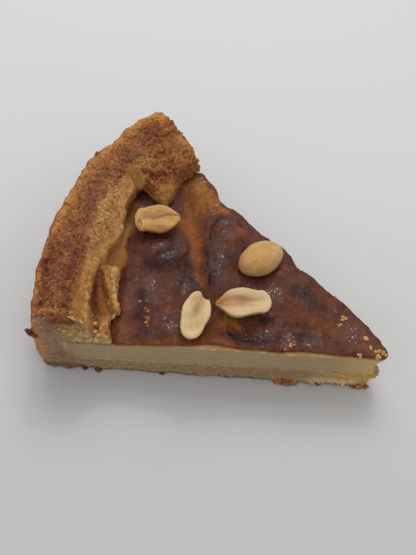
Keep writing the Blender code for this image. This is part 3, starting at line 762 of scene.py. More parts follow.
# the custard: baked skin on top, set cream at the cuts
custard = {
    "voxel": 0.00064,
    "smoothing": 2,
    "folds": 0.00016,         # broad unevenness of the skin
    "wrinkles": 0.00018,      # fine wrinkles where it dried
    "cutWaves": 0.00004,
    "closeSeam": 0.00030,
    # amber river and streaks: points along each, half width, share
    "streams": (
        (((-0.0640, 0.0580), (-0.0622, 0.0480), (-0.0610, 0.0400), (-0.0600, 0.0340), (-0.0598, 0.0290)),
         0.0023, 0.95),
        (((-0.0598, 0.0290), (-0.0592, 0.0245), (-0.0575, 0.0200)), 0.0014, 0.50),
        (((-0.0640, 0.0420), (-0.0625, 0.0370)), 0.0026, 0.80),
        (((-0.0835, 0.0340), (-0.0825, 0.0280), (-0.0815, 0.0220)), 0.0013, 0.80),
        (((-0.0520, 0.0016), (-0.0490, 0.0010)), 0.0016, 0.75),
        (((-0.0590, 0.0030), (-0.0545, 0.0045)), 0.0022, 0.45),
        (((-0.0690, 0.0006), (-0.0630, 0.0012), (-0.0560, 0.0010)), 0.0012, 0.55),
        (((-0.0310, 0.0130), (-0.0260, 0.0105), (-0.0185, 0.0075)), 0.0018, 0.40),
    ),
    # creases along the foot of the blisters, carved and painted darker as painted shade
    "creases": (
        ((-0.0676, 0.0407), (-0.0641, 0.0374), (-0.0619, 0.0336), (-0.0619, 0.0312), (-0.0646, 0.0264)),
        ((-0.0564, 0.0355), (-0.0560, 0.0384), (-0.0540, 0.0429), (-0.0507, 0.0450), (-0.0473, 0.0424),
         (-0.0463, 0.0403)),
        ((-0.0565, 0.0316), (-0.0566, 0.0271), (-0.0553, 0.0234), (-0.0557, 0.0197)),
        ((-0.0635, 0.0184), (-0.0632, 0.0214), (-0.0614, 0.0226), (-0.0592, 0.0207), (-0.0579, 0.0185)),
        ((-0.0496, 0.0074), (-0.0493, 0.0055), (-0.0475, 0.0037), (-0.0452, 0.0033), (-0.0412, 0.0033)),
    ),
    "creaseWidth": 0.00050,
    "creaseDepth": 0.00022,
    "climb": 0.0016,          # how far the skin climbs the wall beside the flap
    # blisters that rose in the oven: x, y, reach along, reach across, turn, height
    "blisters": (
        (-0.0700, 0.0300, 0.0080, 0.0072, 0, 0.00060),
        (-0.0606, 0.0200, 0.0026, 0.0034, -20, 0.00050),
        (-0.0725, 0.0190, 0.0042, 0.0036, 0, 0.00030),
        (-0.0650, 0.0070, 0.0036, 0.0034, 0, 0.00030),
        (-0.0760, 0.0100, 0.0040, 0.0040, 0, 0.00030),
        (-0.0515, 0.0385, 0.0042, 0.0062, -10, 0.00060),
        (-0.0530, 0.0265, 0.0040, 0.0066, 0, 0.00060),
        (-0.0360, 0.0150, 0.0030, 0.0022, 0, 0.00030),
        (-0.0275, 0.0165, 0.0058, 0.0042, -40, 0.00040),
        (-0.0255, 0.0042, 0.0036, 0.0028, 0, 0.00045),
        (-0.0440, 0.0050, 0.0075, 0.0026, 0, 0.00035),
    ),
    # patches of the skin: x, y, reach along, reach across, turn, how much darker, painted grey sheen (a
    # painted reflection), gleam
    "patches": (
        (-0.0665, 0.0310, 0.0066, 0.0048, -6, 0.26, 0.10, 0.0),
        (-0.0645, 0.0325, 0.0022, 0.0040, 20, -0.12, 1.00, 0.1),
        (-0.0620, 0.0270, 0.0016, 0.0034, 12, 0.20, 0.10, 0.0),
        (-0.0685, 0.0248, 0.0046, 0.0026, 8, 0.30, 0.00, 0.0),
        (-0.0706, 0.0312, 0.0024, 0.0018, 0, -0.12, 0.90, 1.0),
        (-0.0680, 0.0275, 0.0030, 0.0012, 30, -0.05, 0.60, 0.9),
        (-0.0735, 0.0255, 0.0030, 0.0040, 0, 0.06, 0.00, 0.0),
        (-0.0715, 0.0178, 0.0042, 0.0040, 0, 0.00, 0.70, 0.2),
        (-0.0755, 0.0190, 0.0030, 0.0040, 0, 0.04, 0.55, 0.1),
        (-0.0722, 0.0176, 0.0018, 0.0026, 10, -0.08, 0.90, 1.0),
        (-0.0782, 0.0140, 0.0024, 0.0050, 0, -0.06, 0.75, 0.1),
        (-0.0738, 0.0088, 0.0019, 0.0068, 4, 0.26, 0.15, 0.1),
        (-0.0748, 0.0148, 0.0026, 0.0022, 0, 0.16, 0.10, 0.0),
        (-0.0690, 0.0090, 0.0034, 0.0040, 0, 0.00, 0.30, 0.0),
        (-0.0795, 0.0046, 0.0034, 0.0050, 0, -0.22, 0.15, 0.3),
        (-0.0612, 0.0198, 0.0030, 0.0036, 0, 0.18, 0.45, 0.4),
        (-0.0612, 0.0198, 0.0014, 0.0020, 0, 0.10, 0.20, 0.6),
        (-0.0655, 0.0150, 0.0040, 0.0045, 0, -0.04, 0.00, 0.0),
        (-0.0655, 0.0050, 0.0026, 0.0014, -25, -0.08, 0.80, 1.0),
        (-0.0672, 0.0078, 0.0014, 0.0014, 0, 0.22, 0.20, 0.3),
        (-0.0715, 0.0030, 0.0040, 0.0020, 0, 0.08, 0.40, 0.1),
        (-0.0795, 0.0190, 0.0018, 0.0050, 8, 0.06, 0.10, 0.0),
        # the skin in the hollow under the lip: darker, partly painted shade
        (-0.0775, 0.0475, 0.0032, 0.0066, 20, 0.30, 0.90, 0.3),
        (-0.0748, 0.0405, 0.0034, 0.0030, 0, 0.30, 0.00, 0.0),
        (-0.0580, 0.0490, 0.0066, 0.0058, 0, -0.36, 0.00, 0.15),
        (-0.0620, 0.0560, 0.0060, 0.0040, -35, -0.40, 0.10, 0.2),
        (-0.0520, 0.0466, 0.0034, 0.0010, -45, -0.30, 0.10, 0.0),
        (-0.0530, 0.0425, 0.0040, 0.0020, -35, 0.26, 0.40, 0.2),
        (-0.0518, 0.0412, 0.0018, 0.0014, 0, -0.14, 1.00, 0.9),
        (-0.0485, 0.0385, 0.0022, 0.0022, -40, -0.16, 0.10, 0.1),
        (-0.0508, 0.0360, 0.0020, 0.0018, 0, 0.05, 0.50, 1.0),
        (-0.0550, 0.0335, 0.0028, 0.0040, 0, 0.10, 0.80, 0.1),
        (-0.0518, 0.0295, 0.0040, 0.0038, 0, 0.16, 0.80, 0.1),
        (-0.0542, 0.0245, 0.0026, 0.0036, -6, 0.18, 1.00, 0.2),
        (-0.0545, 0.0212, 0.0016, 0.0016, 0, 0.26, 0.00, 0.0),
        (-0.0508, 0.0212, 0.0034, 0.0030, 0, 0.00, 1.00, 0.15),
        (-0.0470, 0.0385, 0.0028, 0.0040, -30, -0.06, 0.00, 0.1),
        # lighter under nut 4: partly amber skin, partly painted light against the nut's shadow
        (-0.0490, 0.0078, 0.0052, 0.0026, -28, -0.42, 0.00, 0.2),
        (-0.0380, 0.0092, 0.0028, 0.0018, 0, 0.34, 0.00, 0.0),
        (-0.0405, 0.0020, 0.0028, 0.0011, 0, 0.34, 0.00, 0.1),
        (-0.0288, 0.0190, 0.0026, 0.0022, -30, 0.22, 0.50, 0.1),
        (-0.0425, 0.0215, 0.0042, 0.0026, 0, 0.16, 0.10, 0.0),
        (-0.0362, 0.0190, 0.0022, 0.0020, -30, 0.00, 0.45, 0.9),
        (-0.0350, 0.0158, 0.0018, 0.0012, 0, 0.00, 0.40, 0.8),
        (-0.0300, 0.0215, 0.0044, 0.0030, -35, 0.06, 0.40, 0.0),
        (-0.0258, 0.0172, 0.0046, 0.0030, -35, 0.24, 0.62, 0.1),
        (-0.0215, 0.0140, 0.0034, 0.0026, -35, 0.06, 0.35, 0.0),
        (-0.0255, 0.0035, 0.0034, 0.0028, 0, 0.12, 0.70, 0.3),
        (-0.0290, 0.0052, 0.0022, 0.0020, 0, 0.20, 0.10, 0.0),
        (-0.0320, 0.0040, 0.0028, 0.0024, 0, -0.02, 0.30, 0.7),
        (-0.0372, 0.0045, 0.0040, 0.0022, 0, 0.20, 0.15, 0.35),
        (-0.0440, 0.0042, 0.0050, 0.0022, 0, 0.26, 0.25, 0.35),
        (-0.0480, 0.0038, 0.0026, 0.0026, 0, 0.30, 0.00, 0.0),
        (-0.0430, 0.0082, 0.0056, 0.0022, 4, -0.02, 0.00, 0.0),
        (-0.0200, 0.0045, 0.0044, 0.0030, 0, 0.02, 0.10, 0.0),
        (-0.0135, 0.0075, 0.0060, 0.0040, -40, -0.08, 0.35, 0.25),
        (-0.0085, 0.0030, 0.0036, 0.0028, -20, -0.16, 0.30, 0.3),
    ),
    # tones, from 0 for the palest to 1 for the darkest, and how much the skin's unevenness changes them
    "tones": {"skin": 0.51, "stream": 0.16, "byWall": 0.24},
    "darker": {"folds": 0.16, "wrinkles": 0.11, "stretched": -0.24, "creases": 0.22},
    # amber, orange, red brown, dark, darkest
    "stops": ((0.00, (0.330, 0.118, 0.018)), (0.19, (0.215, 0.065, 0.011)), (0.34, (0.148, 0.043, 0.015)),
              (0.54, (0.100, 0.030, 0.017)), (0.75, (0.050, 0.014, 0.009)), (1.00, (0.020, 0.006, 0.005))),
    # the grey sheen is a painted reflection of the sky on the skin
    "paintedReflection": (0.104, 0.063, 0.060),
    # the sparkle colour is a painted highlight
    "sparkleHighlight": (0.440, 0.370, 0.390),
    "byWall": (0.390, 0.180, 0.046),
    # at the cuts: the amber line right under the skin, and how deep the skin and that line go, in millimetres
    "underSkin": (0.370, 0.145, 0.028),
    "skinDepth": (0.80, 0.40),
    "amberDepth": (1.75, 1.10),
}


def patchShare(x, y, patch):
    px, py, along, across, turn = patch[:5]
    t = math.radians(turn)
    u = (x - px) * math.cos(t) + (y - py) * math.sin(t)
    v = (y - py) * math.cos(t) - (x - px) * math.sin(t)
    return np.exp(-((u / along) ** 2 + (v / across) ** 2) ** 1.7)


def showsOnCustard(at, facing):
    return (facing[:, 2] > 0.3) & (at.z > 0.0150)


def cutOfCustard(at, facing):
    near = ramp(0.35, 0.7, -facing[:, 1]) * ramp(0.0014, 0.0005, at.y)
    far = ramp(0.35, 0.7, towardsFarCut(facing)) * ramp(0.0062, 0.0045, at.fromFarCut)
    return np.maximum.reduce([near, far, ramp(0.0062, 0.0048, at.fromTip) * ramp(0.0180, 0.0170, at.z)])


# how far under the skin a point of the cuts lies
def depthUnderSkin(at, facing, solidTree):
    backIn = 0.0006
    inward = np.array([-math.sin(farCutAngle), -math.cos(farCutAngle), 0.0]) * backIn
    inward = inward * ramp(0.35, 0.7, towardsFarCut(facing))[:, None]
    inward[:, 1] += backIn * ramp(0.35, 0.7, -facing[:, 1])
    roof = np.array([heightUnder(solidTree, p[0], p[1]) for p in at.points + inward])
    roof = np.where(roof > tart["skinLowest"], roof, tart["skinTop"])
    return roof - at.z + 0.004 * ramp(0.0222, 0.0205, at.inset)


# tone, painted grey sheen (a painted reflection) and gleam of the skin, and the forms in it
def paintSkin(at):
    x, y, points, degrees = at.x, at.y, at.points, at.degrees
    tones, darker = custard["tones"], custard["darker"]
    folds = lumps(points * np.array([1.0, 0.8, 1.0]), 0.0036, 4.0)
    fine = lumps(points, 0.0011, 21.0, 3)
    stretched = np.abs(lumps(points * np.array([1.0, 0.45, 1.0]) + 0.0012 * folds[:, None], 0.0021, 33.0))
    tone = tones["skin"] + darker["folds"] * folds + darker["wrinkles"] * fine
    tone += darker["stretched"] * (stretched - 0.25)
    paintedReflection, gleam = np.zeros(len(x)), np.zeros(len(x))
    for patch in custard["patches"]:
        share = patchShare(x + 0.0006 * folds, y + 0.0006 * fine, patch)
        tone += patch[5] * share
        paintedReflection = np.maximum(paintedReflection, patch[6] * share)
        gleam = np.maximum(gleam, patch[7] * share)
    for line, width, share in custard["streams"]:
        inStream = np.exp(-(distanceTo(x + 0.0006 * folds, y, line) / width) ** 3)
        tone = blendTo(tone, tones["stream"] + 0.10 * folds, share * inStream)
        paintedReflection *= 1.0 - 0.8 * share * inStream
    byWall = ramp(0.0204, 0.0184, at.inset - 0.0026 * swell(degrees - 12.5, 4.5) + 0.0005 * folds)
    byWall *= ramp(8.0, 11.0, degrees) * blendTo(0.35, 1.0, ramp(24.5, 20.5, degrees))
    byWall *= ramp(32.0, 30.0, degrees)
    tone = blendTo(tone, tones["byWall"], 0.8 * byWall)
    creased = np.zeros(len(x))
    for line in custard["creases"]:
        apart = distanceTo(x + 0.0004 * folds + 0.0003 * fine, y + 0.0003 * fine, line)
        creased = np.maximum(creased, swell(apart, custard["creaseWidth"]))
    raised = np.zeros(len(x))
    for blister in custard["blisters"]:
        share = patchShare(x + 0.0005 * folds, y + 0.0005 * fine, blister)
        raised = np.maximum(raised, blister[5] * share)
    waves = custard["folds"] * (folds - 1.2 * stretched) + custard["wrinkles"] * (0.25 + gleam) * fine
    # painted shade in the creases
    tone += darker["creases"] * creased
    paintedReflection *= 1.0 - 0.7 * creased
    form = SimpleNamespace(waves=waves, fine=fine, creased=creased, raised=raised)
    return {"tone": tone, "paintedReflection": paintedReflection, "gleam": gleam, "byWall": byWall}, form


# how far each point moves out along its normal
def reliefOfCustard(at, form, byWall, cut, facing):
    skin = ramp(0.25, 0.6, facing[:, 2])
    relief = form.waves + form.raised * ramp(0.0004, 0.0020, np.minimum(at.y, at.fromFarCut))
    relief -= custard["creaseDepth"] * form.creased
    relief += byWall * custard["climb"] * ramp(0.0204, 0.0160, at.inset)
    out = skin * relief + cut * custard["cutWaves"] * form.fine
    under = ramp(-0.4, -0.8, facing[:, 2]) * (1.0 - cut)
    wall = ramp(0.0100, 0.0088, at.inset) * ramp(0.5, 0.0, facing[:, 2]) * (1.0 - cut)
    return out + np.maximum(under, wall) * custard["closeSeam"]


# no gap shows where the custard meets the pastry at the near cut, and the cut colour there is painted lighter
# to cancel the seam's shade
def closeCustardSeam(at, facing, masks, moved, crustTree):
    atCut = np.where((at.y < 0.0016) & (facing[:, 2] < 0.6))[0]
    meeting = closeTo(at.points[atCut], crustTree, 0.0014)
    masks["cut"][atCut] = np.maximum(masks["cut"][atCut], meeting)
    moved[atCut, 1] -= meeting * np.clip(at.y[atCut] - 0.00010, 0.0, 0.0008)
    moved[atCut, 2] -= meeting * 0.00025 * (at.z[atCut] < 0.012)
    colours = paintCut(addLumps(at))
    # painted light along the line where the custard meets the pastry
    colours[atCut] *= 1.0 + 0.30 * closeTo(at.points[atCut], crustTree, 0.0008)[:, None]
    # painted shade: the cut colour is darker where the face turns upward
    return colours * (1.0 - 0.35 * ramp(0.08, 0.45, facing[:, 2])[:, None])


def dressCustard():
    obj = mergedCopy("custard", "baked_custard")
    solidTree = treeOf(obj)
    refine(obj, custard["voxel"], custard["smoothing"], showsOnCustard)
    points, facing = surfaceOf(obj)
    at = survey(points)
    masks, form = paintSkin(at)
    masks["cut"] = cutOfCustard(at, facing)
    masks["depth"] = depthUnderSkin(at, facing, solidTree) * 1000.0
    out = reliefOfCustard(at, form, masks["byWall"], masks["cut"], facing)
    moved = points + facing * out[:, None]
    colours = closeCustardSeam(at, facing, masks, moved, plainTree("crust"))
    moveTo(obj, moved)
    for name, values in masks.items():
        setMask(obj, name, values)
    setColours(obj, "cutColour", colours)
    obj.data.materials.append(custardMaterial())
    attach(obj, "root")
    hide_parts("custard")
    print("custard done,", len(obj.data.polygons), "faces")
    return obj


def custardMaterial():
    material, tree, shader = newMaterial("baked custard")
    place = objectPlace(tree)
    wavy = calc(tree, "SUBTRACT", noiseAt(tree, place, 0.0014, 6.0, 0.66), 0.5)
    tone = calc(tree, "ADD", maskIn(tree, "tone"), calc(tree, "MULTIPLY", wavy, 0.54))
    skin = colourRamp(tree, tone, custard["stops"])
    greyer = between(tree, noiseAt(tree, place, 0.0013, 4.0, 0.65), 0.36, 0.62)
    # painted reflection: a grey-lilac sheen mixed into the skin colour
    paintedReflection = calc(tree, "MULTIPLY", maskIn(tree, "paintedReflection"), greyer)
    skin = mixColours(tree, calc(tree, "MULTIPLY", paintedReflection, 0.66), skin, (*custard["paintedReflection"], 1.0))
    byWall = calc(tree, "MULTIPLY", maskIn(tree, "byWall"), 0.85)
    skin = mixColours(tree, byWall, skin, (*custard["byWall"], 1.0))
    # painted highlight: small light sparkles mixed in where the skin gleams
    paintedSparkles = between(tree, noiseAt(tree, place, 0.0009, 5.0, 0.70), 0.54, 0.70)
    paintedSparkles = calc(tree, "MULTIPLY", paintedSparkles, calc(tree, "MULTIPLY", maskIn(tree, "gleam"), 0.75))
    skin = mixColours(tree, paintedSparkles, skin, (*custard["sparkleHighlight"], 1.0))

    layers = noiseAt(tree, objectPlace(tree, (0.30, 0.30, 1.0)), 0.0008, 4.0, 0.65)
    light = between(tree, layers, 0.28, 0.72, 0.90, 1.10)
    # the cut is painted darker in small holes that are not carved: painted shade
    shadedHoles, grit = addSpecks(tree, place, 0.0020, 0.50, 0.13), addSpecks(tree, place, 0.0014, 0.30, 0.14)
    light = calc(tree, "MULTIPLY", light, between(tree, shadedHoles, 0.0, 1.0, 1.0, 0.55))
    light = calc(tree, "MULTIPLY", light, between(tree, grit, 0.0, 1.0, 1.0, 1.16))
    cream = lighten(tree, coloursIn(tree, "cutColour"), light)
    depth = calc(tree, "ADD", maskIn(tree, "depth"), calc(tree, "MULTIPLY", wavy, 1.0))
    isAmber = between(tree, depth, *custard["amberDepth"])
    amber = mixColours(tree, isAmber, cream, (*custard["underSkin"], 1.0))
    onCut = mixColours(tree, between(tree, depth, *custard["skinDepth"]), amber, skin)
    isCut = maskIn(tree, "cut")
    tree.links.new(mixColours(tree, isCut, skin, onCut), shader.inputs["Base Color"])

    notCut = calc(tree, "SUBTRACT", 1.0, isCut)
    gleam = calc(tree, "MULTIPLY", maskIn(tree, "gleam"), notCut)
    gloss = between(tree, noiseAt(tree, place, 0.0026, 3.0), 0.3, 0.7, 0.34, 0.50)
    tree.links.new(put(tree, "Mix", {0: isCut, 2: gloss, 3: 0.60}).outputs[0], shader.inputs["Roughness"])
    coat = calc(tree, "ADD", calc(tree, "MULTIPLY", notCut, 0.05), calc(tree, "MULTIPLY", gleam, 0.75))
    tree.links.new(coat, shader.inputs["Coat Weight"])
    shader.inputs["Coat Roughness"].default_value = 0.10
    shader.inputs["Specular IOR Level"].default_value = 0.18
    crinkle = noiseAt(tree, objectPlace(tree, (1.0, 0.6, 1.0)), 0.0009, 4.0, 0.68)
    crinkle = calc(tree, "MULTIPLY", crinkle, calc(tree, "ADD", 0.26, calc(tree, "MULTIPLY", gleam, 1.5)))
    layers = calc(tree, "MULTIPLY", layers, 0.3)
    height = put(tree, "Mix", {0: isCut, 2: crinkle, 3: layers}).outputs[0]
    bump = put(tree, "Bump", {"Height": height, "Distance": 0.00040, "Strength": 0.8})
    tree.links.new(bump.outputs["Normal"], shader.inputs["Normal"])
    return material


# the peanut halves; places along and across each run from -1 to 1
peanuts = {
    "levels": 2,
    "grain": 0.00007,
    "cupDepth": 0.00045,
    "rimHeight": 0.00016,
    "grooveDepth": 0.00032,
    "scarDepth": 0.00025,
    # turn; toast of the face and of the side; ends: how much wider each end is; stain: place, reach, share;
    # germ: place, reach; scar: place; groove: start, end, bend; waist: how much it narrows on one side, and
    # where; skirt: the side on which the flank shows
    "halves": {
        # nut_1's side and flank are darker: partly toasted, partly painted shade
        "nut_1": {"turn": 8, "toast": 0.60, "side": 0.88, "ends": (0.55, -0.22),
                  "stain": (-0.15, 0.10, 0.45, 0.28, 0.45), "germ": (0.97, 0.05, 0.08),
                  "groove": (-0.25, 0.95, 0.14), "waist": (0.05, -0.2), "scar": (-0.80, -0.30), "skirt": -1},
        # nut_2's sides are lighter than its face: painted bounce light
        "nut_2": {"turn": 36, "toast": 0.48, "side": 0.36, "ends": (0.06, 0.04)},
        "nut_3": {"turn": 78, "toast": 0.14, "side": 0.06, "ends": (0.10, 0.12),
                  "stain": (0.30, 0.0, 0.45, 0.28, 0.60), "germ": (0.84, -0.12, 0.08),
                  "groove": (0.05, 0.85, -0.06), "waist": (0.08, -0.3)},
        "nut_4": {"turn": 187, "toast": 0.06, "side": 0.18, "ends": (0.25, -0.42),
                  "stain": (0.06, -0.15, 0.42, 0.38, 1.0), "germ": (0.86, -0.10, 0.44),
                  "groove": (0.62, 1.0, 0.14), "waist": (0.10, -0.45)},
    },
    # cream, pale gold, golden, toasted, brown
    "toastStops": (
        (0.00, (0.680, 0.485, 0.250)), (0.25, (0.580, 0.375, 0.165)), (0.50, (0.560, 0.305, 0.086)),
        (0.75, (0.480, 0.220, 0.050)), (1.00, (0.300, 0.115, 0.032)),
    ),
    "speck": (0.740, 0.580, 0.380),
    "freckle": (0.330, 0.150, 0.050),
    "stain": (0.400, 0.195, 0.085),
    "germ": (0.400, 0.150, 0.024),
}


# the flat face of a half: its raised rim, painted paler (partly its own colour, partly a painted highlight),
# its cup and the groove along it
def carveFace(nut, groove):
    start, end, bend = groove
    rim = swell(np.hypot(nut.u, nut.v) - 0.84, 0.12) * nut.up
    cup = np.exp(-(nut.u / 0.60) ** 2 - (nut.v / 0.45) ** 2) * nut.up
    line = swell(nut.v - bend * np.sin(2.6 * nut.u), 0.055) * nut.up
    line *= ramp(start - 0.15, start + 0.1, nut.u) * ramp(end + 0.1, end - 0.15, nut.u)
    # painted highlight along the raised rim, partly its own paler colour
    nut.toast -= 0.16 * rim
    nut.stain = 0.60 * line
    nut.out += peanuts["rimHeight"] * rim * (1.0 + nut.broad) - peanuts["cupDepth"] * cup
    nut.out -= peanuts["grooveDepth"] * line


def stainFace(nut, place):
    u, v, alongReach, acrossReach, share = place
    spot = np.exp(-((nut.u - u) / alongReach) ** 2 - ((nut.v - v) / acrossReach) ** 2)
    nut.stain = np.maximum(nut.stain, share * spot * nut.up * (1.0 + 0.5 * nut.streaks))


def brownGerm(nut, place):
    u, v, reach = place
    nut.germ = np.exp(-((nut.u - u) / reach) ** 2 - ((nut.v - v) / (reach * 1.6)) ** 2)


# the round scar where the germ broke off
def scarEnd(nut, place, facing):
    away = np.hypot((nut.u - place[0]) / 0.095, (nut.v - place[1]) / 0.22)
    ring = swell(away - 0.85, 0.40) * ramp(0.1, 0.5, facing[:, 2])
    nut.germ = np.maximum(nut.germ, 0.9 * ring)
    nut.toast += 0.7 * ring
    nut.out -= peanuts["scarDepth"] * swell(away, 0.8) * nut.up


def dressPeanut(node):
    half = peanuts["halves"][node]
    obj = mergedCopy(node, "peanut_half_" + node[-1])
    step = obj.modifiers.new("rounder", "SUBSURF")
    step.levels = step.render_levels = peanuts["levels"]
    applyModifiers(obj)
    points, facing = surfaceOf(obj)
    low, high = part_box(node)
    middle = np.array((low + high) / 2)
    t = math.radians(half["turn"])
    along, across = np.array([math.cos(t), math.sin(t), 0.0]), np.array([-math.sin(t), math.cos(t), 0.0])
    u, v = (points - middle) @ along, (points - middle) @ across
    width = abs(v).max()
    u, v = u / abs(u).max(), v / width

    nut = SimpleNamespace(u=u, v=v, up=ramp(0.35, 0.75, facing[:, 2]))
    nut.streaks = lumps(np.stack([u * 0.9, v * 4.5, points[:, 2] * 500.0], 1), 1.0, 5.0 + half["turn"], 3)
    nut.broad = lumps(np.stack([u * 1.2, v * 1.6, points[:, 2] * 200.0], 1), 1.0, 8.0 + half["turn"])
    nut.out = peanuts["grain"] * (1.4 * nut.streaks + lumps(points, 0.0009, 12.0) + nut.broad)
    nut.toast = blendTo(half["side"], half["toast"], nut.up) + 0.14 * nut.streaks + 0.14 * nut.broad
    nut.stain = nut.germ = np.zeros(len(points))
    if "skirt" in half:
        onFlank = ramp(0.48, 0.60, v * half["skirt"] + 0.08 * nut.broad)
        nut.toast = blendTo(nut.toast, half["side"] + 0.24 * nut.streaks, onFlank)
    if "groove" in half:
        carveFace(nut, half["groove"])
        stainFace(nut, half["stain"])
        brownGerm(nut, half["germ"])
    if "scar" in half:
        scarEnd(nut, half["scar"], facing)

    moved = points + facing * nut.out[:, None]
    if "waist" in half:
        narrower, place = half["waist"]
        pull = narrower * width * swell(u - place, 0.30) * np.sign(v) * ramp(0.2, 0.9, abs(v))
        moved -= pull[:, None] * across
    widen = half["ends"][0] * ramp(-0.5, -0.92, u) + half["ends"][1] * ramp(0.5, 0.92, u)
    moveTo(obj, moved + (widen * v * width)[:, None] * across)
    for name in ("toast", "stain", "germ"):
        setMask(obj, name, getattr(nut, name))
    obj.data.materials.append(bpy.data.materials.get("blanched peanut") or peanutMaterial())
    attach(obj, "root")
    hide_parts(node)


def peanutMaterial():
    material, tree, shader = newMaterial("blanched peanut")
    place = objectPlace(tree)
    cloud = calc(tree, "SUBTRACT", noiseAt(tree, place, 0.0022, 5.0, 0.62), 0.5)
    toast = calc(tree, "ADD", maskIn(tree, "toast"), calc(tree, "MULTIPLY", cloud, 0.60))
    colour = colourRamp(tree, toast, peanuts["toastStops"])
    specks, freckles = addSpecks(tree, place, 0.0014, 0.45, 0.20), addSpecks(tree, place, 0.0024, 0.25, 0.10)
    specks, freckles = calc(tree, "MULTIPLY", specks, 0.7), calc(tree, "MULTIPLY", freckles, 0.5)
    marks = (("speck", specks), ("freckle", freckles), ("stain", maskIn(tree, "stain")),
             ("germ", maskIn(tree, "germ")))
    for name, share in marks:
        colour = mixColours(tree, share, colour, (*peanuts[name], 1.0))
    tree.links.new(colour, shader.inputs["Base Color"])
    tree.links.new(between(tree, cloud, -0.2, 0.2, 0.30, 0.50), shader.inputs["Roughness"])
    grain = noiseAt(tree, place, 0.0006, 4.0, 0.6)
    bump = put(tree, "Bump", {"Height": grain, "Distance": 0.00020, "Strength": 0.6})
    tree.links.new(bump.outputs["Normal"], shader.inputs["Normal"])
    shader.inputs["Subsurface Weight"].default_value = 0.10
    shader.inputs["Subsurface Radius"].default_value = (1.0, 0.6, 0.3)
    shader.inputs["Subsurface Scale"].default_value = 0.0010
    return material


